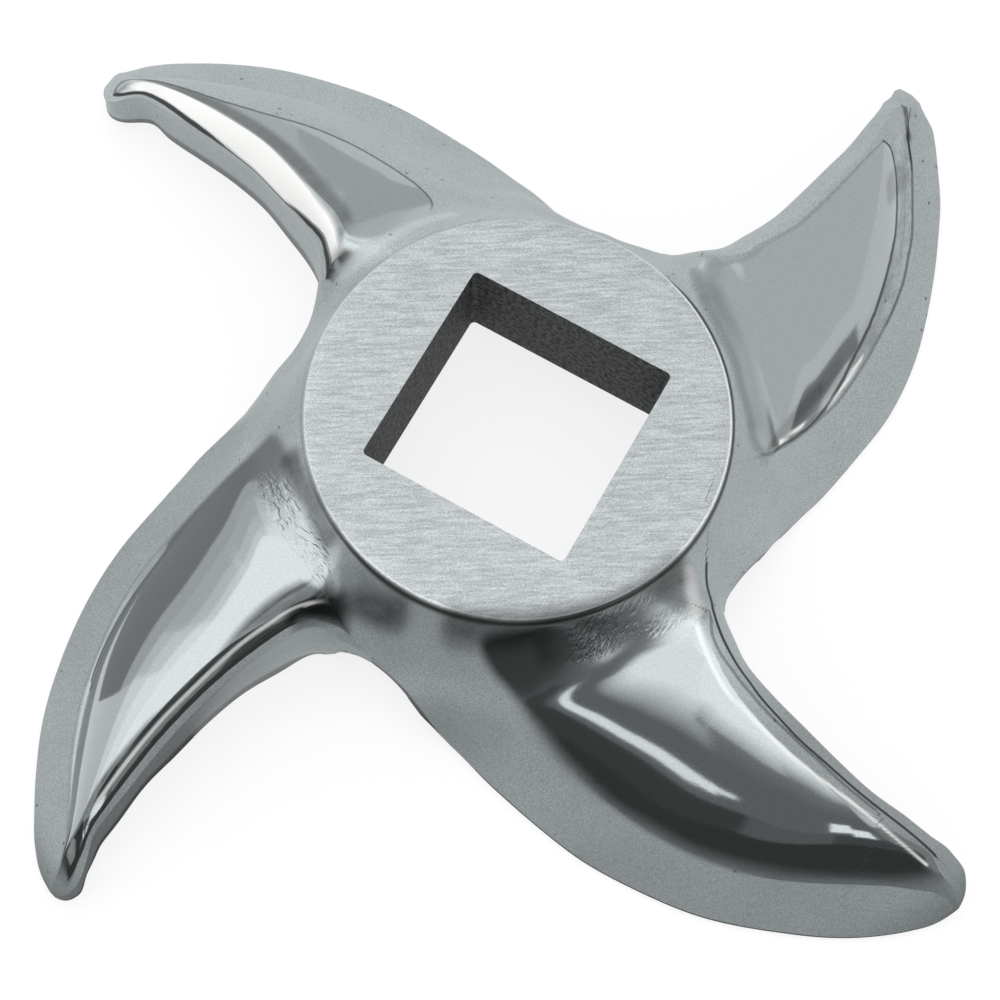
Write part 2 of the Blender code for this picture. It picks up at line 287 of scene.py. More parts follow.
# Dark lines, each a shallow groove with painted shade in it: arm, darkness, points in plan in mm. Neighbours
# run opposite ways.
MARKS = (
    (0, 0.95, ((14.0, 44.8), (14.9, 43.1), (16.4, 41.0))),
    (0, 0.6, (
        (16.4, 41.0), (17.7, 38.5), (19.2, 35.4), (19.9, 33.1), (20.5, 31.0), (20.9, 28.2), (21.0, 26.3),
    )),
    (0, 0.4, (
        (21.0, 26.3), (21.0, 22.4), (20.7, 18.6), (20.3, 16.6), (19.5, 13.6), (18.7, 11.2), (17.7, 8.8),
    )),
    (3, 0.95, (
        (2.1, 18.0), (4.9, 19.7), (5.9, 20.3), (7.2, 21.6), (8.1, 22.9), (8.7, 24.0), (9.2, 25.2),
        (9.8, 26.5), (10.4, 28.4), (11.0, 30.5), (11.3, 32.5), (11.6, 34.4), (11.8, 35.8), (12.1, 38.6),
        (12.3, 41.2), (12.5, 43.8),
    )),
    (3, 0.5, (
        (12.4, 38.0), (12.2, 36.2), (12.0, 34.5), (11.6, 32.6), (11.4, 31.1), (11.1, 29.7), (10.8, 28.2),
        (10.4, 26.7),
        (10.0, 25.6), (9.6, 24.5), (9.1, 23.4), (8.6, 22.3), (7.7, 21.1), (6.5, 20.3),
    )),
)
MARK_WIDTH = 0.16
# Share of the speckle that shows in the polish
POLISH_SPECKLE = 0.35
# The strip that was only brushed, between the polish and the crease of the first arm
STRIPE_OUTLINE = (
    (14.6, 43.6), (14.2, 41.0), (14.0, 38.6), (15.2, 37.9), (16.3, 36.5), (17.7, 33.9), (18.5, 31.7),
    (19.2, 28.9), (19.6, 27.0), (19.9, 24.7), (20.0, 22.0), (20.3, 20.0), (20.9, 23.3), (21.0, 26.3),
    (20.9, 28.2), (20.5, 31.0), (19.9, 33.1), (19.2, 35.4), (17.7, 38.5), (16.4, 41.0), (15.2, 43.2),
)
# Painted highlights along the edges: arm, half width in mm, brightness, points in plan in mm
GLINTS = (
    (0, 0.09, 0.9, ((18.2, 11.1), (18.7, 12.4), (19.2, 13.9))),
    (0, 0.06, 0.5, ((19.2, 13.9), (19.6, 15.3), (20.0, 17.0))),
    (0, 0.1, 0.9, ((20.0, 17.0), (20.3, 18.7), (20.6, 22.2))),
    (1, 0.12, 0.3, ((13.1, 13.3), (10.7, 15.0), (8.6, 16.0), (6.5, 17.0), (4.6, 18.2))),
    (3, 0.1, 0.7, (
        (4.0, 17.3), (5.9, 18.6), (7.9, 20.0), (9.1, 21.2), (10.4, 23.2), (11.2, 25.4), (11.8, 27.4),
        (12.2, 29.4), (12.5, 31.3), (12.7, 33.1), (12.9, 35.5), (13.1, 37.8), (13.3, 40.5), (13.4, 43.5),
    )),
)
# Close to the hub the painted highlights are broader and less bright
GLINT_ROOT_HALF_WIDTH = 0.5
GLINT_ROOT_FADE = 0.5
# Painted highlights, and painted shade below 0, in bands along the nose
# Bands along the nose: arm, how much brighter (or darker, below 0), and rows of share of the reach and the
# places across on the sweep map between which the band lies
NOSE_BANDS = (
    (1, 0.8, (
        (-0.03, 2.1, 2.2), (0.0, 2.0, 2.32), (0.12, 2.0, 2.72), (0.24, 2.0, 3.02), (0.42, 2.01, 3.05),
        (0.6, 2.0, 2.76),
        (0.75, 2.03, 2.56), (0.84, 1.98, 2.54), (0.9, 1.95, 2.1),
    )),
    (1, -0.55, (
        (0.0, 1.88, 2.0), (0.42, 1.88, 2.02), (0.6, 1.87, 2.01), (0.75, 1.9, 2.03), (0.88, 1.84, 1.97),
    )),
    (2, -0.85, (
        (-0.06, 2.2, 2.5), (-0.02, 2.0, 2.3), (0.03, 1.9, 2.08), (0.09, 1.9, 2.05), (0.14, 1.9, 2.03),
        (0.2, 1.93, 2.1),
        (0.27, 1.98, 2.16), (0.34, 2.04, 2.22), (0.41, 2.06, 2.26), (0.47, 2.02, 2.23), (0.54, 1.98, 2.19),
        (0.62, 1.96, 2.16), (0.75, 1.9, 2.1), (0.84, 1.9, 2.3), (0.9, 1.85, 2.6), (0.97, 1.8, 2.7),
    )),
    (2, 0.5, (
        (-0.01, 2.1, 2.2), (0.03, 2.1, 2.22), (0.12, 2.07, 2.2), (0.18, 2.08, 2.24), (0.24, 2.14, 2.28),
        (0.31, 2.21, 2.36), (0.38, 2.23, 2.38), (0.45, 2.22, 2.36), (0.5, 2.2, 2.34), (0.56, 2.2, 2.34),
        (0.62, 2.18, 2.33), (0.72, 2.16, 2.3), (0.8, 2.12, 2.22),
    )),
    (2, -0.6, ((-0.04, 2.3, 2.9), (0.03, 2.26, 2.8), (0.09, 2.24, 2.6), (0.14, 2.3, 2.56))),
)
NOSE_BAND_EDGE = 0.05
# Painted shade in soft dark strokes in the fillets: arm, half width in mm, darkness, points in plan in mm
SHADES = (
    (2, 0.75, 0.78, ((13.5, 11.4), (12.5, 12.3), (11.4, 13.1), (10.1, 13.9), (8.8, 14.9), (7.6, 15.6))),
    (2, 0.9, 0.4, ((7.6, 15.6), (6.0, 16.5), (4.6, 17.1), (3.1, 17.4), (1.4, 17.5), (0.2, 17.4))),
    (2, 0.85, 0.8, ((6.8, 21.6), (5.8, 20.3), (4.7, 19.1), (3.5, 18.3), (1.9, 17.9), (0.7, 17.7))),
    (3, 1.1, 0.8, (
        (16.6, 4.0), (15.9, 5.8), (14.6, 8.2), (12.8, 10.8), (10.1, 13.7), (7.2, 15.5), (4.6, 16.7),
    )),
    (3, 0.9, 0.5, ((14.6, 10.8), (12.6, 12.9), (10.6, 14.9), (8.6, 16.4), (6.9, 17.4))),
    (0, 0.45, 0.4, (
        (17.7, 8.8), (16.3, 8.9), (15.4, 9.9), (13.6, 11.4), (12.4, 12.7), (10.8, 13.8), (9.1, 15.0),
        (7.3, 16.4), (6.1, 18.0),
    )),
    (0, 0.8, 0.25, ((16.2, 10.4), (14.2, 12.5), (12.5, 14.0), (10.3, 15.6), (8.0, 17.0))),
    (1, 0.35, 0.6, ((7.0, 20.0), (5.7, 19.6), (4.7, 19.5))),
)
# Painted shade in dark places with an edge: arm, darkness, width of the edge in mm, outline in plan in mm
DARK_PATCHES = (
    (0, 0.42, 0.35, (
        (17.8, 9.6), (17.6, 11.6), (17.9, 13.6), (18.2, 15.6), (18.6, 17.4), (19.2, 17.3), (18.8, 14.2),
        (18.3, 11.6),
    )),
    (0, 0.2, 0.3, ((18.6, 17.4), (18.7, 18.9), (19.2, 20.7), (20.0, 20.0), (19.9, 18.2), (19.2, 16.8))),
    (0, 0.85, 0.15, ((13.2, 44.3), (14.2, 44.1), (15.2, 43.4), (14.9, 42.8), (14.0, 43.3), (13.3, 43.9))),
    (0, 0.35, 0.3, ((15.3, 36.3), (16.1, 40.0), (16.8, 39.7), (16.7, 36.7), (16.5, 34.2))),
    (0, 0.2, 0.5, (
        (19.0, 32.0), (19.9, 28.5), (20.6, 25.5), (20.9, 23.5), (20.2, 21.0), (19.6, 22.5), (19.5, 25.5),
        (19.3, 28.5),
        (18.8, 30.5),
    )),
)
# Hammered places, and places that were brushed across: arm, centre in plan in mm, half length, half width,
# degrees
HAMMERED_PLACES = (
    (2, (10.6, 15.6), 6.4, 1.5, 150),
)
BRUSHED_PLACES = (
    (3, (9.0, 14.6), 5.6, 0.8, 147),
    (3, (12.0, 14.2), 3.4, 0.9, 144),
    (3, (7.9, 17.9), 2.8, 0.9, 150),
)
# Painted shade on the satin of each arm past its root, darker on the two arms on the camera's side
ARM_SHADES = (0.93, 0.98, 0.76, 0.7)
ARM_SHADE_SHARES = (0.12, 0.4)
# Painted shade on the narrow side under the trailing edge and at the foot of the leading wall: places across on
# the sweep map
DARK_TRAILING_SIDE = (0.02, 0.2)
DARK_LEADING_FOOT = (4.42, 4.56)

# Cards round the stage that show only in the steel: name, degrees round from X, degrees up, and brightness
# or, for a card that is shaded from bottom to top, both of its brightnesses
TENT_PANELS = (
    ("overhead_card", (-180, 20), (58, 90), 1.9),
    ("overhead_back_card", (20, 180), (62, 90), 1.15),
    ("right_back_card", (5, 60), (-3, 62), 0.9),
    ("back_card", (60, 112), (-3, 62), 0.77),
    ("left_back_card", (112, 138), (-3, 62), 0.92),
    ("left_high_card", (138, 226), (25, 58), 1.8),
    ("left_upper_card", (138, 173), (20, 25), 1.3),
    ("left_mid_card", (138, 173), (12, 20), 1.05),
    ("left_low_card", (138, 173), (-3, 12), 0.85),
    ("left_bend_upper_card", (173, 181), (18, 25), 1.6),
    ("left_bend_mid_card", (173, 181), (8, 18), 1.25),
    ("left_bend_low_card", (173, 181), (-3, 8), 1.05),
    ("left_front_card", (181, 226), (12, 25), 1.65),
    ("left_front_low_card", (181, 226), (-3, 12), 1.4),
    ("front_top_card", (-134, -84), (52, 75), 1.65),
    ("front_top_bend_card", (-84, -64), (54, 75), 1.75),
    ("front_top_right_card", (-64, -40), (54, 58), 1.75),
    ("front_shaded_card", (-134, -84), (34, 52), (0.26, 1.6)),
    ("front_shaded_bend_card", (-84, -64), (42, 54), (0.34, 1.7)),
    ("front_shaded_right_card", (-64, -40), (45, 54), (0.33, 1.7)),
    ("front_dim_card", (-84, -40), (34, 45), (0.24, 0.34)),
    ("front_mid_card", (-134, -40), (12, 34), 0.24),
    ("front_low_card", (-134, -76), (-3, 12), 0.09),
    ("front_low_bend_card", (-76, -56), (-5, 12), 0.2),
    ("front_low_right_card", (-56, -40), (-3, 12), 0.12),
    ("right_low_card", (-40, -2), (-3, 9), 0.12),
    ("right_mid_card", (-40, -10), (9, 28), 0.4),
    ("front_strip_lamp", (-96, -87), (16, 21.5), 1.6),
    ("front_strip_taper", (-87, -83), (17, 21.5), 1.6),
    ("front_strip_end", (-83, -79), (18.5, 21), 1.5),
    ("tip_strip_lamp", (-58, -50), (15, 25), 1.7),
    ("tip_strip_end", (-50, -44), (11, 20), 1.7),
)
TENT_STEP_DEGREES = 4.0
SHADED_STEP_DEGREES = 1.5
TENT_LAYER_GAP = 0.004
# Cards that lie on the floor under the knife: name, corners in plan in mm, brightness
FLOOR_CARDS = (
    ("front_floor_card", ((-14, -34), (12, -14), (60, -3), (600, -3), (600, -600), (-330, -600)), 0.07),
    ("left_floor_card", ((-19, -9), (-25, -22), (-26, -34), (-60, -32.5), (-60, 10)), 0.35),
    ("left_far_floor_card", ((-60, 10), (-60, -32.5), (-590, -10), (-590, 220)), 0.75),
    ("right_floor_card", ((33, 14), (37, 30), (60, 42), (58, 16)), 0.36),
)


class KnifeShape(bpy.types.PropertyGroup):
    """Sizes of the casting."""

    arm_count: IntProperty(name="Arms", description="Number of arms round the hub", default=4, min=2, max=8)
    hole_side: FloatProperty(
        name="Hole side", description="Side of the square drive hole", default=17.5 * MM, unit="LENGTH",
        precision=4,
    )
    hole_corner_radius: FloatProperty(
        name="Hole corner", description="Radius in the hole's corners", default=0.4 * MM, unit="LENGTH",
        precision=4,
    )
    hub_diameter: FloatProperty(
        name="Hub", description="Diameter of the hub's face", default=33.0 * MM, unit="LENGTH", precision=4
    )
    hub_length: FloatProperty(
        name="Hub length", description="Hub face to its back", default=9.8 * MM, unit="LENGTH", precision=4
    )
    rim_chamfer: FloatProperty(
        name="Rim chamfer", description="Broken edge round the hub's face", default=0.25 * MM, unit="LENGTH",
        precision=5,
    )
    recess_depth: FloatProperty(
        name="Recess depth", description="Depth of the recess in the back", default=4.7 * MM, unit="LENGTH",
        precision=4,
    )
    recess_diameter: FloatProperty(
        name="Recess", description="Diameter of the recess in the back", default=42.4 * MM, unit="LENGTH",
        precision=4,
    )
    recess_floor_radius: FloatProperty(
        name="Recess fillet", description="Fillet round the recess's floor", default=1.5 * MM, unit="LENGTH",
        precision=4,
    )
    tip_circle_diameter: FloatProperty(
        name="Tip circle", description="Circle that the tips run on", default=99.2 * MM, unit="LENGTH",
        precision=4,
    )
    valley_circle_diameter: FloatProperty(
        name="Valley circle", description="Circle through the lowest points between the arms",
        default=40.6 * MM, unit="LENGTH", precision=4,
    )
    valley_lip: FloatProperty(
        name="Valley lip", description="Thickness of the web at the valleys", default=1.1 * MM,
        unit="LENGTH", precision=4,
    )
    valley_angle: FloatProperty(
        name="Valley angle", description="Turn of the first valley from X", default=math.radians(-3.5),
        subtype="ANGLE",
    )
    ridge_height: FloatProperty(
        name="Ridge height", description="Height of the ridge at the root", default=13.5 * MM, unit="LENGTH",
        precision=4,
    )
    crease_height: FloatProperty(
        name="Crease height", description="Height of the crease behind the trailing edge", default=3.1 * MM,
        unit="LENGTH", precision=4,
    )
    trailing_edge_thickness: FloatProperty(
        name="Trailing edge", description="Thickness of the trailing edge", default=0.6 * MM, unit="LENGTH",
        precision=5,
    )
    face_crown: FloatProperty(
        name="Face crown", description="Rise of the face's middle", default=1.3 * MM, unit="LENGTH",
        precision=4,
    )
    ridge_overhang: FloatProperty(
        name="Overhang", description="How far the nose stands over the cutting edge", default=0.7 * MM,
        unit="LENGTH", precision=4,
    )

    def total_height(self):
        return self.recess_depth + self.hub_length

    def valley_radius(self):
        return self.valley_circle_diameter / 2

    def reach(self):
        return self.tip_circle_diameter / 2 - self.valley_radius()

    def pitch(self):
        return math.tau / self.arm_count


class KnifeFinish(bpy.types.PropertyGroup):
    """Colours and finishes of the steel, with the colours of its painted highlights."""

    polished_colour: FloatVectorProperty(
        name="Polished steel", description="Colour of the polished faces", default=(0.39, 0.422, 0.43),
        subtype="COLOR", min=0, max=1,
    )
    polished_roughness: FloatProperty(
        name="Polish", description="Roughness of the polished faces", default=0.08, min=0, max=1
    )
    satin_colour: FloatVectorProperty(
        name="Satin steel", description="Colour of the satin bands", default=(0.345, 0.379, 0.385),
        subtype="COLOR", min=0, max=1,
    )
    satin_roughness: FloatProperty(
        name="Satin", description="Roughness of the satin bands", default=0.55, min=0, max=1
    )
    hub_colour: FloatVectorProperty(
        name="Ground steel", description="Colour of the ground face of the hub",
        default=(0.402, 0.43, 0.438), subtype="COLOR", min=0, max=1,
    )
    hub_roughness: FloatProperty(
        name="Grind", description="Roughness of the ground face of the hub", default=0.38, min=0, max=1
    )
    hole_colour: FloatVectorProperty(
        name="Cast steel", description="Colour of the rough walls of the hole", default=(0.10, 0.105, 0.105),
        subtype="COLOR", min=0, max=1,
    )
    hole_roughness: FloatProperty(
        name="Cast", description="Roughness of the walls of the hole", default=0.7, min=0, max=1
    )
    # A painted highlight on the broken edge round the hub's face, stronger on one side of the hub
    chamfer_highlight_colour: FloatVectorProperty(
        name="Broken edge", description="Colour of the painted highlight on the broken edge round the hub's face",
        default=(0.75, 0.78, 0.79), subtype="COLOR", min=0, max=1,
    )
    # Painted highlights along the edges and in bands on the nose
    glint_colour: FloatVectorProperty(
        name="Edge highlight", description="Colour of the painted highlights on the edges",
        default=(0.82, 0.82, 0.8), subtype="COLOR", min=0, max=1,
    )
    root_roughness: FloatProperty(
        name="Fillet polish", description="Roughness of the polished fillets at the hub", default=0.25,
        min=0, max=1,
    )
    satin_metal: FloatProperty(
        name="Satin metal", description="How metallic the satin bands look", default=0.5, subtype="FACTOR",
        min=0, max=1,
    )
    speckle: FloatProperty(
        name="Speckle", description="Share by which the steel's tone varies from spot to spot", default=0.22,
        min=0, max=1,
    )


class KnifeStage(bpy.types.PropertyGroup):
    """The floor and the light."""

    floor_colour: FloatVectorProperty(
        name="Floor", description="Colour of the floor", default=(0.9, 0.9, 0.9), subtype="COLOR", min=0,
        max=1,
    )
    floor_shadow: FloatProperty(
        name="Shadow", description="Share of the floor's own shading that shows", default=0.2,
        subtype="FACTOR", min=0, max=1,
    )
    floor_drop: FloatProperty(
        name="Floor drop", description="Floor below the knife's back", default=0.1 * MM, unit="LENGTH",
        precision=5,
    )
    card_drop: FloatProperty(
        name="Card drop", description="Floor cards below the knife's back", default=0.05 * MM, unit="LENGTH",
        precision=5,
    )
    tent_radius: FloatProperty(
        name="Card distance", description="Distance of the cards from the knife", default=0.6, unit="LENGTH"
    )
    world_light: FloatProperty(name="World", description="Brightness of the white world", default=1.0, min=0)
    lamp_height: FloatProperty(
        name="Lamp height", description="Height of the soft lamp", default=0.9, unit="LENGTH"
    )
    lamp_side: FloatProperty(
        name="Lamp side", description="Side of the soft lamp", default=0.7, unit="LENGTH"
    )
    lamp_power: FloatProperty(
        name="Lamp power", description="Power of the soft lamp", default=3.0, unit="POWER"
    )
    floor_side: FloatProperty(
        name="Floor side", description="Side of the square floor", default=3.0, unit="LENGTH"
    )


def between(first, second, share):
    return first + (second - first) * share


def eased(share):
    """A share that starts and ends gently."""
    return (1 - np.cos(np.pi * share)) / 2


def curve_values(rows, shares):
    """The values at shares along a guide curve, on a smooth curve through its rows."""
    places, values = np.array(rows, float).T
    last = len(places) - 1
    start = np.clip(np.searchsorted(places, shares) - 1, 0, last - 1)
    before = np.maximum(start - 1, 0)
    after = start + 1
    beyond = np.minimum(start + 2, last)
    span = places[after] - places[start]
    part = (shares - places[start]) / span
    slope_here = (values[after] - values[before]) / (places[after] - places[before]) * span
    slope_after = (values[beyond] - values[start]) / (places[beyond] - places[start]) * span
    return (
        values[start] * (1 + 2 * part) * (1 - part) ** 2
        + slope_here * part * (1 - part) ** 2
        + values[after] * part**2 * (3 - 2 * part)
        + slope_after * part**2 * (part - 1)
    )


def fair_values(rows, shares, softness):
    """The guide curve's values averaged over a short reach to both sides, which shrinks towards its ends."""
    reach = softness * np.clip(np.minimum(shares, 1 - shares) / (2 * softness), 0, 1)
    steps = np.linspace(-2, 2, FAIRING_STEPS)
    weights = np.exp(-(steps**2) / 2)
    places = [np.clip(shares + reach * step, 0, 1) for step in steps]
    return sum(weight * curve_values(rows, place) for place, weight in zip(places, weights)) / weights.sum()


def guide_angles(shape, rows, shares, softness):
    return shape.valley_angle + shape.pitch() * fair_values(rows, shares, softness)[:, None] / QUARTER_DEGREES


def sections(shape, shares):
    """Angles and heights of the arm's top at each share, from the trailing edge over the ridge to the wall."""
    column = shares[:, None]
    radius = shape.valley_radius() + shape.reach() * column
    valley_height = shape.recess_depth + shape.valley_lip
    trailing = guide_angles(shape, TRAILING_EDGE_SHARES, shares, OUTLINE_FAIRING)
    crease = guide_angles(shape, CREASE_SHARES, shares, FACE_FAIRING)
    ridge = guide_angles(shape, RIDGE_SHARES, shares, FACE_FAIRING)
    leading = guide_angles(shape, LEADING_EDGE_SHARES, shares, OUTLINE_FAIRING)
    edge_drop = curve_values(EDGE_DROP_SHARES, shares)[:, None]
    edge_height = between(valley_height, shape.trailing_edge_thickness, edge_drop)
    crease_height = shape.crease_height * fair_values(CREASE_HEIGHT_SHARES, shares, FACE_FAIRING)[:, None]
    ridge_height = shape.ridge_height * fair_values(RIDGE_HEIGHT_SHARES, shares, FACE_FAIRING)[:, None]
    crown = shape.face_crown * fair_values(CROWN_SHARES, shares, FACE_FAIRING)[:, None]

    band = np.arange(BAND_STEPS)[None, :] / BAND_STEPS
    face = np.arange(FACE_STEPS + 1)[None, :] / FACE_STEPS
    angles = [between(trailing, crease, band), between(crease, ridge, face)]
    heights = [
        between(edge_height, crease_height, band),
        between(crease_height, ridge_height, face) + crown * 4 * face * (1 - face),
    ]

    overhang = shape.ridge_overhang * fair_values(OVERHANG_SHARES, shares, FACE_FAIRING)[:, None]
    lip = leading + overhang / radius
    lip_height = ridge_height * OVERHANG_HEIGHT_SHARE
    down = np.arange(1, NOSE_STEPS + 1)[None, :] / NOSE_STEPS
    out = between(down, np.sin(np.pi / 2 * down), NOSE_ROUNDNESS)
    drop = between(down, 1 - np.cos(np.pi / 2 * down), NOSE_ROUNDNESS)
    fall = np.arange(1, HOLLOW_STEPS + 1)[None, :] / HOLLOW_STEPS
    wall_angles = np.hstack([between(ridge, lip, out), between(lip, leading, eased(fall))])
    wall_heights = np.hstack(
        [
            between(ridge_height, lip_height, drop),
            between(lip_height, ridge_height * WALL_TOP_SHARE, fall),
        ]
    )
    part = np.arange(1, NOSE_STEPS + HOLLOW_STEPS + 1)[None, :] / (NOSE_STEPS + HOLLOW_STEPS)
    saddle_angles = between(ridge, leading, part)
    saddle_heights = between(ridge_height, valley_height, eased(part))
    grown = curve_values(WALL_RISE_SHARES, shares)[:, None]
    angles.append(between(saddle_angles, wall_angles, grown))
    heights.append(between(saddle_heights, wall_heights, grown))
    return np.hstack(angles), np.hstack(heights)


def polar(radii, angles, heights):
    """Points from radii, angles and heights that broadcast together."""
    radii, angles, heights = np.broadcast_arrays(radii, angles, heights)
    return np.stack([radii * np.cos(angles), radii * np.sin(angles), heights], axis=-1)


def hole_outline(shape, count):
    """A quarter of the hole's outline, from the valley's angle, as count + 1 evenly spaced points."""
    half = shape.hole_side / 2
    radius = shape.hole_corner_radius
    start = half * math.tan(shape.valley_angle)
    turn = np.linspace(0, math.pi / 2, HOLE_CORNER_STEPS + 1)
    corner = np.stack([half - radius + radius * np.cos(turn), half - radius + radius * np.sin(turn)], axis=-1)
    path = np.vstack([[half, start], corner, [-start, half]])
    along = np.concatenate([[0], np.cumsum(np.linalg.norm(np.diff(path, axis=0), axis=1))])
    places = np.linspace(0, along[-1], count + 1)
    return np.stack([np.interp(places, along, path[:, 0]), np.interp(places, along, path[:, 1])], axis=-1)


def recess_height(shape, radii):
    """Height of the recess's roof at each radius inside its wall."""
    flat = shape.recess_diameter / 2 - shape.recess_floor_radius
    across = np.clip((radii - flat) / shape.recess_floor_radius, 0, 1)
    return shape.recess_depth - shape.recess_floor_radius * (1 - np.sqrt(1 - across**2))


def station_shares(shape):
    """Shares of the reach at which the arm's sections stand, and how many are before the recess's wall."""
    recess = (shape.recess_diameter / 2 - shape.valley_radius()) / shape.reach()
    if not 0 < recess < DENSE_SHARE:
        raise ValueError("the recess has to reach a little past the valleys")
    near = recess * (np.arange(VALLEY_STATIONS) / VALLEY_STATIONS) ** 2
    root = between(recess, DENSE_SHARE, np.arange(ROOT_STATIONS) / ROOT_STATIONS)
    middle = between(DENSE_SHARE, TIP_SHARE, np.arange(ARM_STATIONS) / ARM_STATIONS)
    tip = 1 - (1 - TIP_SHARE) * (1 - np.arange(TIP_STATIONS + 1) / TIP_STATIONS) ** 1.5
    return np.concatenate([near, root, middle, tip]), VALLEY_STATIONS


def hub_rows(shape, steps):
    """Rows from the recess's wall over its roof, up the hole and over the hub to the rim."""
    hub_radius = shape.hub_diameter / 2
    top = shape.total_height()
    even = shape.valley_angle + shape.pitch() * np.arange(steps + 1) / steps
    outline = hole_outline(shape, steps)

    def ring(radius, height):
        return polar(radius, even, height)

    def hole_ring(height):
        return np.column_stack([outline, np.full(steps + 1, height)])

    flat = shape.recess_diameter / 2 - shape.recess_floor_radius
    rows = []
    for part in np.linspace(1, 0, 4)[1:]:
        radius = between(flat, shape.valley_radius(), part)
        rows.append(ring(radius, recess_height(shape, radius)))
    for part in np.linspace(0, 1, FLOOR_STEPS + 1)[1:]:
        rows.append(between(ring(flat, shape.recess_depth), hole_ring(shape.recess_depth), part))
    for part in np.linspace(0, 1, HOLE_WALL_STEPS + 1)[1:]:
        rows.append(hole_ring(between(shape.recess_depth, top, part)))
    for part in np.linspace(0, 1, HUB_TOP_STEPS + 1)[1:]:
        rows.append(between(hole_ring(top), ring(hub_radius - shape.rim_chamfer, top), part))
    for part in np.linspace(0, 1, RIM_STEPS + 1)[1:-1]:
        turn = math.pi / 2 * part
        rows.append(
            ring(
                hub_radius - shape.rim_chamfer * (1 - math.sin(turn)),
                top - shape.rim_chamfer * (1 - math.cos(turn)),
            )
        )
    angles, heights = sections(shape, np.zeros(1))
    rim_height = top - shape.rim_chamfer
    for part in np.arange(ROOT_STEPS) / ROOT_STEPS:
        radius = between(hub_radius, shape.valley_radius(), part)
        fall = (1 - part) ** ROOT_FILLET_POWER
        rows.append(polar(radius, between(even, angles[0], part), between(heights[0], rim_height, fall)))
    return rows


def softened(shape, rows, counted, softness, strength):
    """Rows of top points with their heights faired over the plan, across the seams to both neighbours.

    Each height becomes that of the plane which fits the points round it best, near ones counting most.
    """
    points = rows.reshape(-1, 3) / MM
    across = np.gradient(rows[..., :2], axis=1) / MM
    along = np.gradient(rows[..., :2], axis=0) / MM
    areas = np.abs(across[..., 0] * along[..., 1] - across[..., 1] * along[..., 0]).ravel() * counted.ravel()
    copies = []
    for turn in (0, shape.pitch(), -shape.pitch()):
        x, y = points[:, 0], points[:, 1]
        cosine, sine = math.cos(turn), math.sin(turn)
        copies.append(np.stack([x * cosine - y * sine, x * sine + y * cosine], axis=-1))
    plan = np.vstack(copies)
    heights = np.tile(points[:, 2], 3)
    areas = np.tile(areas, 3)
    softness = softness.ravel()
    strength = strength.ravel()
    faired = points[:, 2].copy()
    for place in np.flatnonzero(strength > 0):
        offsets = plan - points[place, :2]
        near = np.flatnonzero((np.abs(offsets) < 3 * softness[place]).all(axis=1))
        offsets = offsets[near]
        weights = areas[near] * np.exp(-(offsets**2).sum(axis=1) / (2 * softness[place] ** 2))
        terms = np.column_stack([np.ones(len(near)), offsets])
        normal = terms.T @ (terms * weights[:, None])
        fit = np.linalg.solve(normal + np.eye(3) * 1e-12, terms.T @ (weights * heights[near]))
        faired[place] = between(points[place, 2], fit[0], strength[place])
    result = rows.copy()
    result[..., 2] = faired.reshape(rows.shape[:2]) * MM
    return result


def undercut_turn(shape, radius, deepest):
    """How far the foot of the wall stands back near the recess, as an angle."""
    share = (radius - shape.valley_radius()) / shape.reach()
    return deepest * MM * (1 - min(1, share / UNDERCUT_SHARE)) ** 2 / radius


def side_wall(shape, top_ends, radii, inner, deepest):
    """The wall under one edge of the arm, as the points of each station from the bottom up."""
    columns = []
    for place, (end, radius) in enumerate(zip(top_ends, radii)):
        steps = SIDE_STEPS if place < inner else SIDE_STEPS + 1
        if place < inner:
            heights = np.linspace(recess_height(shape, radius), end[2], steps + 1)
        elif place == inner:
            heights = np.concatenate([[0.0], np.linspace(recess_height(shape, radius), end[2], steps)])
        else:
            heights = np.linspace(0.0, end[2], steps + 1)
        cut = 0 if place < inner else undercut_turn(shape, radius, deepest)
        turns = cut * np.clip(1 - heights / recess_height(shape, radii[inner]), 0, 1)
        columns.append(polar(radius, math.atan2(end[1], end[0]) + turns, heights))
    return columns


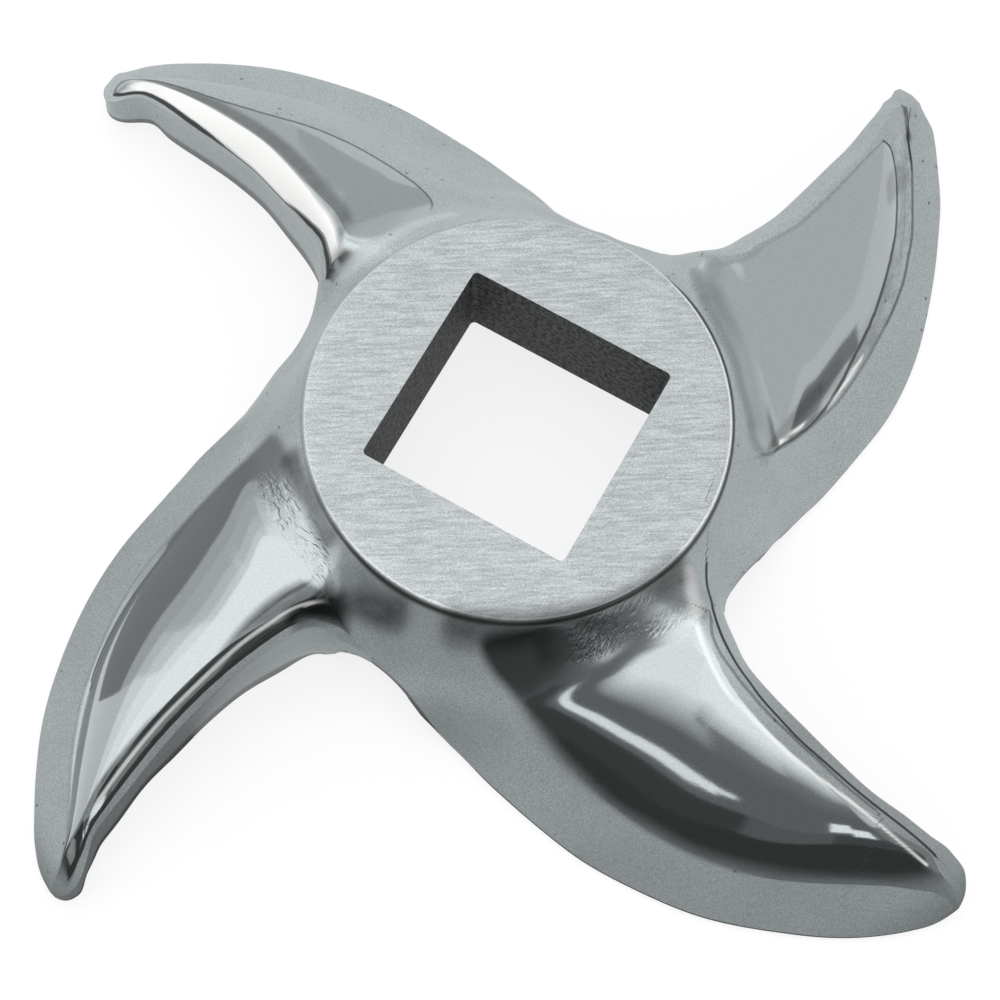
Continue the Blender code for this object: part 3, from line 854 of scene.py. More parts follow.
def sector_mesh(shape):
    """One arm with its quarter of the hub, open only along the seams to its neighbours."""
    steps = BAND_STEPS + FACE_STEPS + NOSE_STEPS + HOLLOW_STEPS
    shares, inner = station_shares(shape)
    radii = shape.valley_radius() + shape.reach() * shares
    angles, heights = sections(shape, shares)
    arm = polar(radii[:, None], angles, heights)
    hub = np.stack(hub_rows(shape, steps))
    arm, hub = soften_root(shape, arm, hub, shares)

    spread = np.linspace(0, 1, steps + 1)[None, :]
    under_angles = between(angles[:, :1], angles[:, -1:], spread)
    under_radii = radii[: inner + 1, None]
    under = polar(under_radii, under_angles[: inner + 1], recess_height(shape, under_radii))[::-1]
    cuts = [undercut_turn(shape, radii[inner], deepest) for deepest in UNDERCUTS]
    floor = polar(radii[inner], under_angles[inner] + between(cuts[0], cuts[1], spread[0]), 0.0)
    grid = np.stack([floor, *under, *hub, *arm])
    across = np.concatenate(
        [
            np.arange(BAND_STEPS) / BAND_STEPS,
            1 + np.arange(FACE_STEPS) / FACE_STEPS,
            2 + np.arange(NOSE_STEPS) / NOSE_STEPS,
            3 + np.arange(HOLLOW_STEPS + 1) / HOLLOW_STEPS,
        ]
    )
    along = np.concatenate([np.arange(len(arm) - len(grid), 0) * HUB_ROW_SHARE, shares])

    mesh = bmesh.new()
    sweep = mesh.loops.layers.uv.new(SWEEP_MAP)
    verts = [[mesh.verts.new(point) for point in row] for row in grid]
    places = {
        vert: (across[place], along[line]) for line, row in enumerate(verts) for place, vert in enumerate(row)
    }
    for lower, upper in zip(verts, verts[1:]):
        for place in range(steps):
            mesh.faces.new((lower[place], upper[place], upper[place + 1], lower[place + 1]))
    for end in (0, -1):
        columns = side_wall(shape, arm[:, end], radii, inner, UNDERCUTS[end])
        made = [[mesh.verts.new(point) for point in column] for column in columns]
        for place, (here, there) in enumerate(zip(made, made[1:])):
            there = there[-len(here):]
            for step in range(len(here) - 1):
                mesh.faces.new((here[step], there[step], there[step + 1], here[step + 1]))
        edge = across[end]
        places.update(
            (vert, (edge + (-step if end == 0 else step) * SIDE_SHARE, shares[place]))
            for place, column in enumerate(made)
            for step, vert in enumerate(reversed(column))
        )
    bmesh.ops.remove_doubles(mesh, verts=mesh.verts, dist=WELD_DISTANCE)
    close_rims(mesh, shape)
    for face in mesh.faces:
        for loop in face.loops:
            loop[sweep].uv = places[loop.vert]
    bmesh.ops.recalc_face_normals(mesh, faces=mesh.faces)
    return mesh


def soften_root(shape, arm, hub, shares):
    """Rounds the fillet between the hub and the arm, and takes the hardness off the ridge."""
    near = int(np.searchsorted(shares, SOFT_REACH))
    web = ROOT_STEPS + int(np.searchsorted(shares, WEB_SHARE))
    rows = np.concatenate([hub[-ROOT_STEPS:], arm[:near]])
    open_above = np.ones(rows.shape[:2])
    open_above[web:, NOSE_END + 1 :] = 0
    radii = np.hypot(rows[..., 0], rows[..., 1]) / MM
    reach = (radii - shape.valley_radius() / MM) / (shape.reach() / MM)
    away = np.clip(reach / SOFT_REACH, 0, 1)
    softness = between(ROOT_SOFTNESS, RIDGE_SOFTNESS, away)
    rim = np.clip((radii - shape.hub_diameter / MM / 2) / RIM_FADE, 0, 1)
    strength = rim * (1 - away**2) * open_above
    made = softened(shape, rows, open_above, softness, strength)
    hub[-ROOT_STEPS:] = made[:ROOT_STEPS]
    arm[:near] = made[ROOT_STEPS:]
    return arm, hub


def close_rims(mesh, shape):
    """Closes the arm's flat underside and its tip, which are the rims that don't lie on the seams."""
    seam = math.cos(math.radians(0.01))
    directions = [
        (math.cos(turn), math.sin(turn)) for turn in (shape.valley_angle, shape.valley_angle + shape.pitch())
    ]

    def on_seam(vert):
        across = math.hypot(vert.co.x, vert.co.y)
        return any((vert.co.x * x + vert.co.y * y) > across * seam for x, y in directions)

    edges = [
        edge
        for edge in mesh.edges
        if edge.is_boundary and not (on_seam(edge.verts[0]) and on_seam(edge.verts[1]))
    ]
    bmesh.ops.edgeloop_fill(mesh, edges=edges)


def new_object(name, mesh):
    data = bpy.data.meshes.new(name)
    mesh.to_mesh(data)
    mesh.free()
    made = bpy.data.objects.new(name, data)
    bpy.context.scene.collection.objects.link(made)
    return made


def repeat_tree(material):
    """The node tree that repeats a sector round the axis and welds it into one casting."""
    tree = bpy.data.node_groups.new("repeat_round_axis", "GeometryNodeTree")
    face = tree.interface
    face.new_socket("Geometry", in_out="INPUT", socket_type="NodeSocketGeometry")
    face.new_socket("Arms", in_out="INPUT", socket_type="NodeSocketInt").default_value = 4
    weld = face.new_socket("Weld Distance", in_out="INPUT", socket_type="NodeSocketFloat")
    weld.default_value = WELD_DISTANCE
    face.new_socket("Geometry", in_out="OUTPUT", socket_type="NodeSocketGeometry")

    sector, arms, weld = tree.nodes.new("NodeGroupInput").outputs[:3]
    instance = place_node(tree, "GeometryNodeGeometryToInstance", {0: sector}).outputs[0]
    values = {"Geometry": instance, "Amount": arms}
    copies = place_node(tree, "GeometryNodeDuplicateElements", values, domain="INSTANCE").outputs
    turn = sums(tree, "MULTIPLY", copies["Duplicate Index"], sums(tree, "DIVIDE", math.tau, arms))
    axis = place_node(tree, "ShaderNodeCombineXYZ", {"Z": turn}).outputs[0]
    values = {"Instances": copies["Geometry"], "Rotation": axis}
    turned = place_node(tree, "GeometryNodeRotateInstances", values).outputs[0]
    whole = place_node(tree, "GeometryNodeRealizeInstances", {0: turned}).outputs[0]
    welded = place_node(tree, "GeometryNodeMergeByDistance", {"Geometry": whole, "Distance": weld}).outputs[0]
    smooth = place_node(tree, "GeometryNodeSetShadeSmooth", {"Geometry": welded}).outputs[0]
    painted = place_node(tree, "GeometryNodeSetMaterial", {"Geometry": smooth, "Material": material}).outputs[0]
    place_node(tree, "NodeGroupOutput", {0: painted})
    return tree

def applied(made, name):
    """A plain mesh object of what the object's modifiers make, in the object's place."""
    bpy.context.view_layer.update()
    evaluated = made.evaluated_get(bpy.context.evaluated_depsgraph_get())
    data = bpy.data.meshes.new_from_object(evaluated)
    old = made.data
    made.modifiers.clear()
    made.data = data
    bpy.data.meshes.remove(old)
    made.name = name
    data.name = name
    return made


def smooth_spans(before, here, there, beyond):
    """Points along a smooth curve, span by span, from the points round each span."""
    part = (np.arange(OUTLINE_POINTS_PER_SPAN) / OUTLINE_POINTS_PER_SPAN)[:, None, None]
    curve = (
        2 * here
        + (there - before) * part
        + (2 * before - 5 * here + 4 * there - beyond) * part**2
        + (3 * here - before - 3 * there + beyond) * part**3
    ) / 2
    return curve.transpose(1, 0, 2).reshape(-1, 2)

def smooth_loop(points):
    """A closed smooth curve through points."""
    here = np.array(points, float)
    before, there, beyond = (np.roll(here, turn, axis=0) for turn in (1, -1, -2))
    return smooth_spans(before, here, there, beyond)

def smooth_line(points):
    """An open smooth curve through points."""
    points = np.array(points, float)
    ends = np.vstack([2 * points[0] - points[1], points, 2 * points[-1] - points[-2]])
    return np.vstack([smooth_spans(ends[:-3], ends[1:-2], ends[2:-1], ends[3:]), points[-1:]])

def distance_from(line, places):
    """How far each place is from an open line, more than 0 to its left and less than 0 to its right."""
    nearest = np.full(len(places), np.inf)
    signed = np.zeros(len(places))
    x, y = places.T
    for (x1, y1), (x2, y2) in zip(line, line[1:]):
        dx, dy = x2 - x1, y2 - y1
        part = np.clip(((x - x1) * dx + (y - y1) * dy) / (dx * dx + dy * dy), 0, 1)
        away = np.hypot(x - x1 - part * dx, y - y1 - part * dy)
        nearer = away < nearest
        nearest[nearer] = away[nearer]
        signed[nearer] = np.where((y - y1) * dx > (x - x1) * dy, away, -away)[nearer]
    return signed

def distance_inside(outline, places):
    """How far each place is inside the closed outline, less than 0 outside it."""
    closed = np.vstack([outline, outline[:1]])
    nearest = np.abs(distance_from(closed, places))
    crossings = np.zeros(len(places), int)
    x, y = places.T
    for (x1, y1), (x2, y2) in zip(closed, closed[1:]):
        if y1 != y2:
            crossings += ((y1 > y) != (y2 > y)) & (x < x1 + (y - y1) * (x2 - x1) / (y2 - y1))
    return np.where(crossings % 2 == 1, nearest, -nearest)

def turned_back(shape, arm, places):
    """Places in plan, turned so that the arm lies on the first one."""
    turn = -arm * shape.pitch()
    x, y = places.T
    return np.stack([x * math.cos(turn) - y * math.sin(turn), x * math.sin(turn) + y * math.cos(turn)], axis=-1)


def vertex_values(data, name, width):
    values = np.empty(len(data.vertices) * width, np.float32)
    data.vertices.foreach_get(name, values)
    return values.reshape(-1, width).astype(float)


def sweep_values(data):
    """Each vertex's place on the sweep map."""
    corners = np.empty(len(data.loops), np.int32)
    data.loops.foreach_get("vertex_index", corners)
    places = np.empty(len(data.loops) * 2, np.float32)
    data.uv_layers[SWEEP_MAP].uv.foreach_get("vector", places)
    values = np.zeros((len(data.vertices), 2))
    values[corners] = places.reshape(-1, 2)
    return values


def arm_turns(shape, angles):
    """How far each angle is past the first valley, and the arm that it falls on."""
    turns = (angles - shape.valley_angle + SEAM_SLACK) % math.tau
    return turns, np.floor(turns / shape.pitch()).astype(int)

def trim_arms(data, shape):
    """Moves each arm's edges a little, because the arms were trimmed by hand and no two are alike."""
    points = vertex_values(data, "co", 3)
    across = sweep_values(data)[:, 0]
    follow = np.interp(across, *TRIM_FOLLOW)
    foot = np.clip((across - 4) / (SIDE_STEPS * SIDE_SHARE), 0, 1)
    radii = np.hypot(points[:, 0], points[:, 1])
    angles = np.arctan2(points[:, 1], points[:, 0])
    turns, arms = arm_turns(shape, angles)
    shares = np.clip((radii - shape.valley_radius()) / shape.reach(), 0, 1)
    moves = np.zeros(len(points))
    for arm, tables in enumerate(zip(TRAILING_TRIMS, LEADING_TRIMS, FOOT_TRIMS)):
        trailing, leading, feet = (curve_values(list(zip(TRIM_SHARES, table)), shares) for table in tables)
        moves += np.where(arms == arm, between(-trailing, leading + feet * foot, follow), 0) * MM
    outward = np.zeros(len(points))
    for valley, table in enumerate(VALLEY_TRIMS):
        away = np.degrees((turns - valley * shape.pitch() + math.pi) % math.tau - math.pi)
        near = np.abs(away) < VALLEY_TRIM_DEGREES[-1]
        outward[near] += curve_values(list(zip(VALLEY_TRIM_DEGREES, table)), away[near]) * MM
    outward *= np.interp(radii / MM, *VALLEY_TRIM_RADII)
    angles += np.where(shares > 0, moves / radii.clip(shape.hole_side / 2), 0)
    radii += outward
    plan = np.stack([radii * np.cos(angles), radii * np.sin(angles)], axis=-1)
    points[:, :2] = plan.clip(CAD_BOX[0][:2], CAD_BOX[1][:2])
    data.vertices.foreach_set("co", points.astype(np.float32).ravel())
    data.update()


def mark_polish(shape, plan, sweep, arms, top):
    """How far each point is inside the polish, and the darkness, width and fade of the line round it."""
    polish = np.full(len(plan), -FAR_FROM_POLISH)
    lines, widths, fades = (np.full(len(plan), value) for value in (0.0, OUTLINE_WIDTH, OUTLINE_FADES[0]))
    for arm, outline in enumerate(POLISH_OUTLINES):
        inside = distance_inside(smooth_loop(outline), turned_back(shape, arm, plan))
        end = np.interp(sweep[:, 1], *zip(*POLISH_ENDS[arm]))
        before_end = np.interp(end, *GIRTHS) - np.interp(sweep[:, 0], *GIRTHS)
        before_end[arms == (arm + 1) % len(POLISH_ENDS)] = -FAR_FROM_POLISH
        on_nose = before_end < inside
        inside = np.minimum(inside, before_end)
        nearer = inside > polish
        polish[nearer] = inside[nearer]
        face_line = np.interp(sweep[:, 1], OUTLINE_STARTS[arm], (0, 1))
        nose_line = np.interp(sweep[:, 1], NOSE_LINE_STARTS[arm], (0, 1))
        lines[nearer] = np.where(on_nose, NOSE_LINES[arm] * nose_line, OUTLINE_LINES[arm] * face_line)[nearer]
        widths[nearer] = np.where(on_nose, NOSE_LINE_WIDTHS[arm], OUTLINE_WIDTH)[nearer]
        face_fade = between(ROOT_FADE, OUTLINE_FADES[arm], face_line)
        nose_fade = between(ROOT_FADE, NOSE_FADE, np.interp(sweep[:, 1], NOSE_LINE_STARTS[arm], (0, 1)))
        fades[nearer] = np.where(on_nose, nose_fade, face_fade)[nearer]
    polish[~top] = -FAR_FROM_POLISH
    return {"polish": polish, "edge_line": lines, "edge_width": widths, "edge_fade": fades}


def worked_places(shape, plan, places):
    """1 inside the oval places and 0 outside them, with a soft edge."""
    inside = np.zeros(len(plan))
    for arm, centre, half_length, half_width, turn in places:
        offset = turned_back(shape, arm, plan) - centre
        turn = math.radians(turn)
        lengthwise = offset @ (math.cos(turn), math.sin(turn))
        crosswise = offset @ (-math.sin(turn), math.cos(turn))
        depth = 1 - (lengthwise / half_length) ** 2 - (crosswise / half_width) ** 2
        inside = np.maximum(inside, np.clip(depth * 2, 0, 1))
    return inside


def mark_finishes_and_painted_light(data, shape):
    """Writes the hand-worked finishes, polish, brushed strip and dents, and the painted highlights and painted
    shade of the dark lines and fillets.
    """
    points = vertex_values(data, "co", 3)
    sweep = sweep_values(data)
    across, along = sweep.T
    in_hub = along < 0
    top = (points[:, 2] > POLISH_FLOOR * MM) & (across >= 0) & ((across < POLISH_SIDE) | in_hub)
    over = top & ((across < NOSE_SIDE) | in_hub)
    plan = points[:, :2] / MM
    _, arms = arm_turns(shape, np.arctan2(plan[:, 1], plan[:, 0]))
    values = mark_polish(shape, plan, sweep, arms, top)
    # Painted shade on the satin of each arm past its root
    values["tone"] = between(1, np.array(ARM_SHADES)[arms], np.interp(along, ARM_SHADE_SHARES, (0, 1)))

    def away_from(arm, line):
        return distance_from(smooth_line(line), turned_back(shape, arm, plan))

    def stroke(arm, line, half_width):
        """1 along the middle of a soft stroke, and 0 past its sides."""
        return np.clip(1.5 - np.abs(away_from(arm, line)) / half_width, 0, 1) * over

    # Dark lines: shallow grooves with painted shade in them
    marks = np.full(len(plan), FAR_FROM_POLISH)
    darkness = np.zeros(len(plan))
    for arm, dark, line in MARKS:
        away = away_from(arm, line)
        nearer = over & (np.abs(away) < np.abs(marks))
        marks[nearer] = away[nearer]
        darkness[nearer] = dark
    values.update(mark=marks, mark_dark=darkness)
    stripe = distance_inside(smooth_loop(STRIPE_OUTLINE), plan)
    values["stripe"] = np.where(top, stripe, -FAR_FROM_POLISH)

    glint = np.zeros(len(plan))
    light = np.ones(len(plan))
    # Painted highlights along the edges
    for arm, half_width, bright, line in GLINTS:
        half_widths = np.where(in_hub, np.maximum(half_width, GLINT_ROOT_HALF_WIDTH), half_width)
        strength = bright * np.where(in_hub, GLINT_ROOT_FADE, 1)
        glint = np.maximum(glint, strength * stroke(arm, line, half_widths))
    # Painted highlights and painted shade in bands along the nose
    for arm, bright, rows in NOSE_BANDS:
        places, starts, ends = np.array(rows).T
        start, end = (np.interp(along, places, limits) for limits in (starts, ends))
        inside = np.minimum(across - start, end - across) / NOSE_BAND_EDGE
        within = np.minimum(along - places[0], places[-1] - along) / NOSE_BAND_EDGE
        band = abs(bright) * np.clip(inside + 0.5, 0, 1) * np.clip(within, 0, 1) * (arms == arm)
        if bright > 0:
            glint = np.maximum(glint, band)
        else:
            light *= 1 - band
    # Painted shade in soft strokes in the fillets
    for arm, half_width, dark, line in SHADES:
        light *= 1 - dark * stroke(arm, line, half_width)
    # Painted shade in dark places with an edge
    for arm, dark, edge, outline in DARK_PATCHES:
        inside = distance_inside(smooth_loop(outline), turned_back(shape, arm, plan))
        light *= 1 - dark * np.clip(inside / edge + 0.5, 0, 1) * over
    values.update(glint=glint, shade=1 - light)
    values["dents"] = worked_places(shape, plan, HAMMERED_PLACES) * top
    values["bristles"] = worked_places(shape, plan, BRUSHED_PLACES) * top
    for name, row in values.items():
        layer = data.attributes.new(name, "FLOAT", "POINT")
        layer.data.foreach_set("value", row.astype(np.float32))

def place_node(tree, kind, values=(), **settings):
    """A node with its settings made and its sockets given a value or a link."""
    node = tree.nodes.new(kind)
    for name, setting in settings.items():
        setattr(node, name, setting)
    for socket, value in dict(values).items():
        if isinstance(value, bpy.types.NodeSocket):
            tree.links.new(value, node.inputs[socket])
        else:
            node.inputs[socket].default_value = value
    return node


def sums(tree, operation, *values):
    return place_node(tree, "ShaderNodeMath", dict(enumerate(values)), operation=operation).outputs[0]


def step_up(tree, value, low, high):
    """0 below low, 1 above high, and smooth between."""
    values = {"Value": value, "From Min": low, "From Max": high}
    return place_node(tree, "ShaderNodeMapRange", values, interpolation_type="SMOOTHSTEP").outputs[0]


def pulse(tree, value, centre, half_width):
    """1 at the centre, falling to 0 at half_width to either side."""
    away = sums(tree, "ABSOLUTE", sums(tree, "SUBTRACT", value, centre))
    return sums(tree, "SUBTRACT", 1.0, step_up(tree, away, 0.0, half_width))


def grain(tree, place, scale, size=(1, 1, 1), turn=0.0, detail=2.0):
    """Noise from 0 to 1, its spots stretched to size and then turned round Z."""
    values = {"Vector": place, "Rotation": (0, 0, turn), "Scale": size}
    turned = place_node(tree, "ShaderNodeMapping", values, vector_type="TEXTURE").outputs[0]
    values = {"Vector": turned, "Scale": scale, "Detail": detail, "Roughness": 0.6}
    return place_node(tree, "ShaderNodeTexNoise", values).outputs[0]


def blend_colours(tree, share, first, second):
    first, second = (
        tone if isinstance(tone, bpy.types.NodeSocket) else (*tone, 1.0) for tone in (first, second)
    )
    return place_node(tree, "ShaderNodeMix", {0: share, 6: first, 7: second}, data_type="RGBA").outputs[2]

def blend_values(tree, share, first, second):
    return place_node(tree, "ShaderNodeMix", {0: share, 2: first, 3: second}, data_type="FLOAT").outputs[0]

def scaled(colour, factor):
    return tuple(factor * part for part in colour)


def steel_material(shape, finish):
    """The casting's steel: polished, satin and ground faces, marks of the work, painted highlights and shade,
    and the hole's rough walls.
    """
    material = bpy.data.materials.new("knife_steel")
    material.use_nodes = True
    tree = material.node_tree
    shader = tree.nodes["Principled BSDF"]
    times, plus, most = (partial(sums, tree, kind) for kind in ("MULTIPLY", "ADD", "MAXIMUM"))
    rest = partial(sums, tree, "SUBTRACT", 1.0)
    unsigned = partial(sums, tree, "ABSOLUTE")
    step, blend, tint, noise = (partial(made, tree) for made in (step_up, blend_values, blend_colours, grain))

    def marked(name):
        return place_node(tree, "ShaderNodeAttribute", attribute_name=name).outputs["Fac"]

    def grown(vector, factor):
        sockets = {0: vector, "Scale": factor}
        return place_node(tree, "ShaderNodeVectorMath", sockets, operation="SCALE").outputs[0]

    def streaks(marks, detail):
        size, degrees = marks
        return noise(place, 1.0, size=size, turn=math.radians(degrees), detail=detail)

    place = grown(place_node(tree, "ShaderNodeTexCoord").outputs["Object"], 1 / MM)
    x, y, z = place_node(tree, "ShaderNodeSeparateXYZ", {0: place}).outputs
    sweep = place_node(tree, "ShaderNodeUVMap", uv_map=SWEEP_MAP).outputs[0]
    across, along, _ = place_node(tree, "ShaderNodeSeparateXYZ", {0: sweep}).outputs

    # Where each finish lies, with the painted highlight at the rim and the painted shade on the narrow sides
    top = shape.total_height() / MM
    rim = shape.hub_diameter / MM / 2
    radius = sums(tree, "SQRT", plus(times(x, x), times(y, y)))
    hub_face = step(z, top - 0.03, top - 0.01)
    in_hole = sums(tree, "LESS_THAN", most(unsigned(x), unsigned(y)), shape.hole_side / MM / 2 + 0.02)
    hole_wall = times(in_hole, rest(hub_face))
    at_hub = sums(tree, "GREATER_THAN", z, top - 2.0)
    # Which side of the hub the painted highlight and painted shade at the rim are strongest on
    side = step(plus(x, times(y, -0.4)), -13.0, 3.0)
    # Painted highlight on the broken edge round the hub's face
    chamfer = times(times(pulse(tree, radius, rim - 0.1, 0.17), at_hub), blend(side, 0.25, 1.0))
    ragged = sums(tree, "MULTIPLY_ADD", noise(place, RAGGED_SCALE), 0.12, -0.06)
    ragged_polish = plus(marked("polish"), ragged)
    edge_fade = marked("edge_fade")
    polished = step(ragged_polish, times(edge_fade, -1.0), edge_fade)
    stripe = step(marked("stripe"), -0.05, 0.05)
    root = rest(step(along, -0.04, 0.05))
    # Painted shade on the narrow side under the trailing edge and at the foot of the leading wall
    narrow = most(step(times(across, -1.0), *DARK_TRAILING_SIDE), step(across, *DARK_LEADING_FOOT))
    narrow = times(narrow, step(z, 0.02, 0.08))

    # Grain of each finish
    cloud = noise(place, CLOUD_SCALE, detail=3)
    speckle = step(noise(place, SPECKLE_SCALE, detail=3), 0.3, 0.7)
    fine = noise(place, FINE_SCALE, detail=3)
    brushed = noise(sweep, BRUSH_SCALE, size=BRUSH_SIZE, detail=3)
    scratches = streaks(SCRATCHES, 5)
    strokes = streaks(STROKES, 2)
    cast = noise(place, CAST_SCALE, detail=4)
    dent = times(step(streaks(DENTS, 1.5), 0.42, 0.7), marked("dents"))
    bristle = times(step(streaks(BRISTLES, 1.5), 0.4, 0.7), marked("bristles"))
    values = {"Vector": place, "Scale": PIT_SCALE, "Randomness": 1.0}
    pits = place_node(tree, "ShaderNodeTexVoronoi", values, feature="F1").outputs[0]
    pit = rest(step(pits, 0.04, 0.09))

    # Dark lines and dark places: painted shade in shallow grooves, at the rim and in the fillets, and painted
    # highlights
    edge_width = marked("edge_width")
    away = unsigned(plus(ragged_polish, times(edge_width, 0.7)))
    line = times(rest(step(away, times(edge_width, 0.5), edge_width)), marked("edge_line"))
    mark_near = rest(step(unsigned(marked("mark")), MARK_WIDTH * 0.5, MARK_WIDTH))
    line = most(line, times(mark_near, marked("mark_dark")))
    # A shallow groove with painted shade in a thin ring just outside the hub's rim, darker on one side of the
    # hub
    rim_line = times(pulse(tree, radius, rim + 0.14, 0.24), at_hub)
    line = most(line, times(rim_line, blend(side, 0.1, 0.95)))
    shade = times(marked("shade"), blend(strokes, 0.7, 1.1))
    glint = marked("glint")

    satin, hub = finish.satin_colour, finish.hub_colour
    colour = tint(cloud, scaled(satin, 0.9), scaled(satin, 1.1))
    # Painted shade on the satin of each arm past its root
    colour = grown(colour, marked("tone"))
    striped = tint(step(strokes, 0.4, 0.6), scaled(satin, 0.82), scaled(satin, 1.02))
    colour = tint(stripe, colour, striped)
    colour = tint(times(pit, 0.7), colour, PIT_COLOUR)
    colour = tint(polished, colour, finish.polished_colour)
    ground = tint(step(scratches, 0.3, 0.7), scaled(hub, 0.78), scaled(hub, 1.14))
    colour = tint(hub_face, colour, ground)
    # Painted highlight on the broken edge round the hub's face
    colour = tint(chamfer, colour, finish.chamfer_highlight_colour)
    colour = tint(hole_wall, colour, tint(step(cast, 0.38, 0.6), DEEP_COLOUR, finish.hole_colour))
    amount = blend(polished, finish.speckle, finish.speckle * POLISH_SPECKLE)
    colour = grown(colour, blend(speckle, rest(amount), plus(1.0, amount)))
    # Painted shade in the fillets and on the narrow sides, painted highlights, and painted shade in the dark
    # lines
    colour = tint(shade, colour, SHADE_COLOUR)
    colour = tint(times(narrow, 0.6), colour, NARROW_COLOUR)
    colour = tint(glint, colour, finish.glint_colour)
    colour = tint(line, colour, LINE_COLOUR)
    tree.links.new(colour, shader.inputs["Base Color"])

    worn = blend(root, finish.polished_roughness, finish.root_roughness)
    rough = blend(polished, finish.satin_roughness, worn)
    rough = blend(hub_face, rough, finish.hub_roughness)
    rough = blend(line, blend(glint, rough, 0.5), 0.6)
    rough = blend(hole_wall, rough, finish.hole_roughness)
    tree.links.new(rough, shader.inputs["Roughness"])
    metal = blend(polished, finish.satin_metal, 1.0)
    metal = blend(hole_wall, blend(glint, metal, 0.0), 0.6)
    tree.links.new(metal, shader.inputs["Metallic"])

    # Relief in mm
    relief = plus(times(brushed, SATIN_RELIEF), times(pit, -PIT_DEPTH))
    relief = blend(polished, relief, times(fine, POLISH_RELIEF))
    relief = blend(hub_face, relief, times(scratches, HUB_RELIEF))
    relief = blend(hole_wall, relief, times(cast, CAST_RELIEF))
    for share, depth in ((dent, DENT_DEPTH), (bristle, BRISTLE_DEPTH), (line, LINE_DEPTH)):
        relief = plus(relief, times(share, -depth))
    bump = place_node(tree, "ShaderNodeBump", {"Height": relief, "Distance": MM, "Strength": 1.0})
    tree.links.new(bump.outputs[0], shader.inputs["Normal"])
    return material

class KNIFE_OT_casting(bpy.types.Operator):
    """Build the knife's casting"""

    bl_idname = "knife.casting"
    bl_label = "Casting"

    def execute(self, context):
        shape = context.scene.knife_shape
        sector = new_object("sector", sector_mesh(shape))
        repeat = sector.modifiers.new("repeat", "NODES")
        repeat.node_group = repeat_tree(steel_material(shape, context.scene.knife_finish))
        for item in repeat.node_group.interface.items_tree:
            if item.name == "Arms":
                repeat[item.identifier] = shape.arm_count
        casting = applied(sector, "knife_casting")
        if not casting.data.polygons:
            raise RuntimeError("the casting has no faces")
        trim_arms(casting.data, shape)
        mark_finishes_and_painted_light(casting.data, shape)
        casting.data.set_sharp_from_angle(angle=math.radians(30))
        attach(casting, BODY)
        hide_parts(NODE)
        return {"FINISHED"}


class KNIFE_OT_camera(bpy.types.Operator):
    """Set the photograph's camera"""

    bl_idname = "knife.camera"
    bl_label = "Camera"

    def execute(self, context):
        data = bpy.data.cameras.new("camera")
        data.sensor_fit = "HORIZONTAL"
        data.lens = CAMERA_LENS
        data.clip_start = 0.01
        camera = bpy.data.objects.new("camera", data)
        camera.location = CAMERA_PLACE
        camera.rotation_euler = [math.radians(turn) for turn in CAMERA_TURN_DEGREES]
        context.scene.collection.objects.link(camera)
        context.scene.camera = camera
        return {"FINISHED"}


def background_rays(tree):
    """A socket that is 1 for the rays that see the background as plain white."""
    rays = place_node(tree, "ShaderNodeLightPath").outputs
    seen = sums(tree, "MAXIMUM", rays["Is Camera Ray"], rays["Is Glossy Ray"])
    return sums(tree, "MAXIMUM", seen, rays["Is Transmission Ray"])

def bare_material(name):
    """A material and its node tree, with no nodes in it yet."""
    material = bpy.data.materials.new(name)
    material.use_nodes = True
    material.node_tree.nodes.clear()
    return material, material.node_tree

def floor_material(stage):
    """Diffuse for the light, nearly plain white to the eye and in reflections, with the knife's shadow."""
    material, tree = bare_material("pale_floor")
    diffuse = place_node(tree, "ShaderNodeBsdfDiffuse", {"Color": (*stage.floor_colour, 1)}).outputs[0]
    white = place_node(tree, "ShaderNodeEmission", {"Color": WHITE}).outputs[0]
    share = sums(tree, "MULTIPLY", background_rays(tree), 1 - stage.floor_shadow)
    mix = place_node(tree, "ShaderNodeMixShader", {0: share, 1: diffuse, 2: white}).outputs[0]
    place_node(tree, "ShaderNodeOutputMaterial", {"Surface": mix})
    return material

def card_material(name, brightness):
    material, tree = bare_material(name)
    glow = place_node(tree, "ShaderNodeEmission", {"Color": WHITE, "Strength": brightness}).outputs[0]
    place_node(tree, "ShaderNodeOutputMaterial", {"Surface": glow})
    return material

def reflection_card(name, mesh, brightness):
    """A card that shows only in the steel, and doesn't light or shade the floor."""
    card = new_object(name, mesh)
    card.data.materials.append(card_material(name, brightness))
    for ray in ("camera", "diffuse", "transmission", "volume_scatter", "shadow"):
        setattr(card, "visible_" + ray, False)
    return card


def tent_panel_mesh(radius, turns, rises):
    """A patch of a sphere between two turns and two rises, in degrees."""
    across = np.radians(np.linspace(*turns, math.ceil((turns[1] - turns[0]) / TENT_STEP_DEGREES) + 1))
    up = np.radians(np.linspace(*rises, math.ceil((rises[1] - rises[0]) / TENT_STEP_DEGREES) + 1))
    mesh = bmesh.new()
    rows = [
        [
            mesh.verts.new(
                (
                    radius * math.cos(rise) * math.cos(turn),
                    radius * math.cos(rise) * math.sin(turn),
                    radius * math.sin(rise),
                )
            )
            for turn in across
        ]
        for rise in up
    ]
    for lower, upper in zip(rows, rows[1:]):
        for place in range(len(across) - 1):
            mesh.faces.new((lower[place], lower[place + 1], upper[place + 1], upper[place]))
    return mesh


def card_slices(rises, brightness):
    """A card's slices from bottom to top, each with its rises and brightness: one where it isn't shaded."""
    if not isinstance(brightness, tuple):
        return [(rises, brightness)]
    edges = np.linspace(*rises, round((rises[1] - rises[0]) / SHADED_STEP_DEGREES) + 1)
    return [
        ((lower, upper), float(np.interp((lower + upper) / 2, rises, brightness)))
        for lower, upper in zip(edges, edges[1:])
    ]

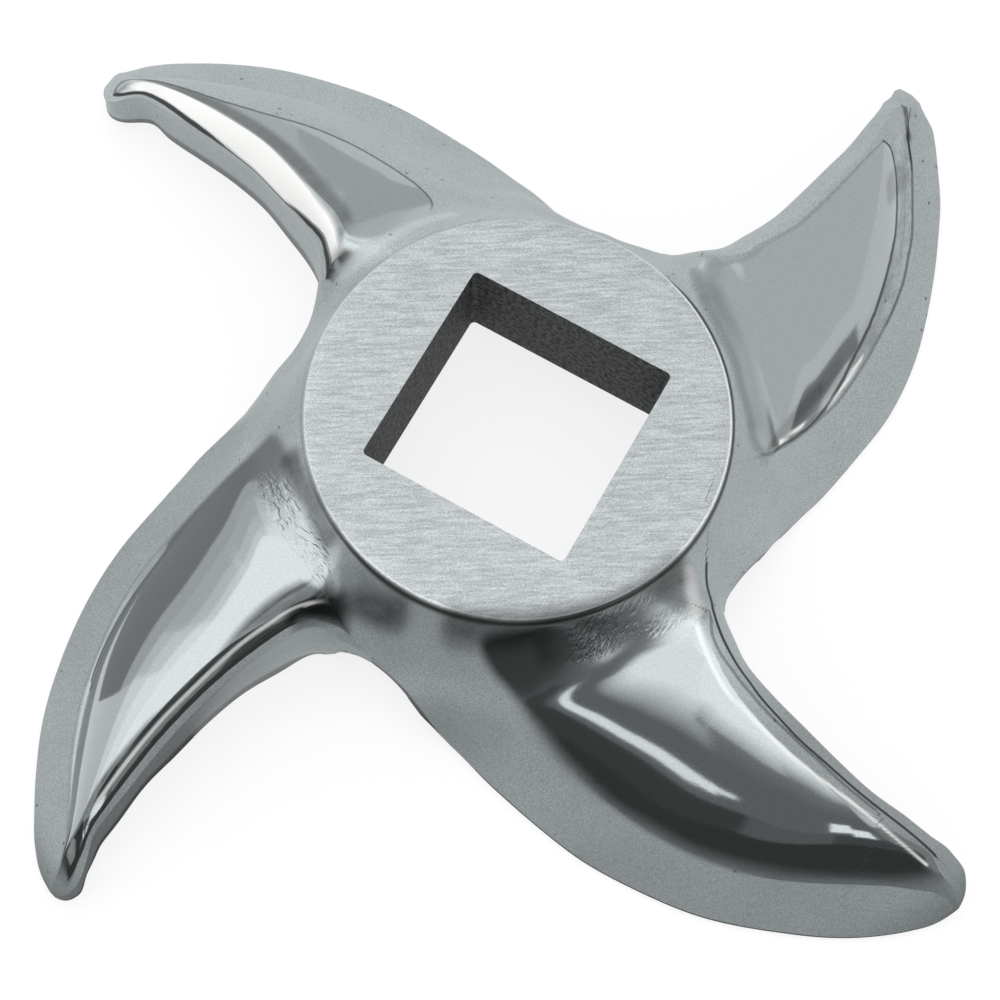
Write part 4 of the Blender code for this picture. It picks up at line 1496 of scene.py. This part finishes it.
class KNIFE_OT_stage(bpy.types.Operator):
    """Build the floor, the world, the soft lamp and the cards that show in the steel"""

    bl_idname = "knife.stage"
    bl_label = "Stage"

    def execute(self, context):
        scene = context.scene
        stage = scene.knife_stage
        mesh = bmesh.new()
        bmesh.ops.create_grid(mesh, x_segments=1, y_segments=1, size=stage.floor_side / 2)
        bmesh.ops.translate(mesh, verts=mesh.verts, vec=(0, 0, -stage.floor_drop))
        floor = new_object("floor", mesh)
        floor.data.materials.append(floor_material(stage))

        for place, (name, turns, rises, brightness) in enumerate(TENT_PANELS):
            radius = stage.tent_radius - place * TENT_LAYER_GAP
            parts = card_slices(rises, brightness)
            for number, (part, level) in enumerate(parts, 1):
                part_name = name if len(parts) == 1 else f"{name}_{number}"
                reflection_card(part_name, tent_panel_mesh(radius, turns, part), level)
        for name, corners, brightness in FLOOR_CARDS:
            mesh = bmesh.new()
            mesh.faces.new([mesh.verts.new((x * MM, y * MM, -stage.card_drop)) for x, y in corners])
            reflection_card(name, mesh, brightness)

        light = bpy.data.lights.new("soft_lamp", "AREA")
        light.shape = "SQUARE"
        light.size = stage.lamp_side
        light.energy = stage.lamp_power
        lamp = bpy.data.objects.new("soft_lamp", light)
        lamp.location = (-stage.lamp_side / 4, stage.lamp_side / 4, stage.lamp_height)
        lamp.visible_glossy = False
        scene.collection.objects.link(lamp)

        world = bpy.data.worlds.new("white_room")
        world.use_nodes = True
        world.node_tree.nodes["Background"].inputs["Color"].default_value = WHITE
        world.node_tree.nodes["Background"].inputs["Strength"].default_value = stage.world_light
        scene.world = world
        scene.view_settings.view_transform = "Standard"
        return {"FINISHED"}


class KNIFE_PT_panel(bpy.types.Panel):
    """The knife's operators, in the 3D view's sidebar"""

    bl_label = "Meat Grinder Knife"
    bl_idname = "KNIFE_PT_panel"
    bl_space_type = "VIEW_3D"
    bl_region_type = "UI"
    bl_category = "Knife"

    def draw(self, context):
        for operator in (KNIFE_OT_casting, KNIFE_OT_camera, KNIFE_OT_stage):
            self.layout.operator(operator.bl_idname)


CLASSES = (
    KnifeShape, KnifeFinish, KnifeStage, KNIFE_OT_casting, KNIFE_OT_camera, KNIFE_OT_stage, KNIFE_PT_panel,
)


def register():
    for made in CLASSES:
        bpy.utils.register_class(made)
    bpy.types.Scene.knife_shape = PointerProperty(type=KnifeShape)
    bpy.types.Scene.knife_finish = PointerProperty(type=KnifeFinish)
    bpy.types.Scene.knife_stage = PointerProperty(type=KnifeStage)


def unregister():
    del bpy.types.Scene.knife_stage
    del bpy.types.Scene.knife_finish
    del bpy.types.Scene.knife_shape
    for made in reversed(CLASSES):
        bpy.utils.unregister_class(made)


def main():
    register()
    bpy.ops.knife.camera()
    bpy.ops.knife.casting()
    bpy.ops.knife.stage()


if __name__ == "__main__":
    main()
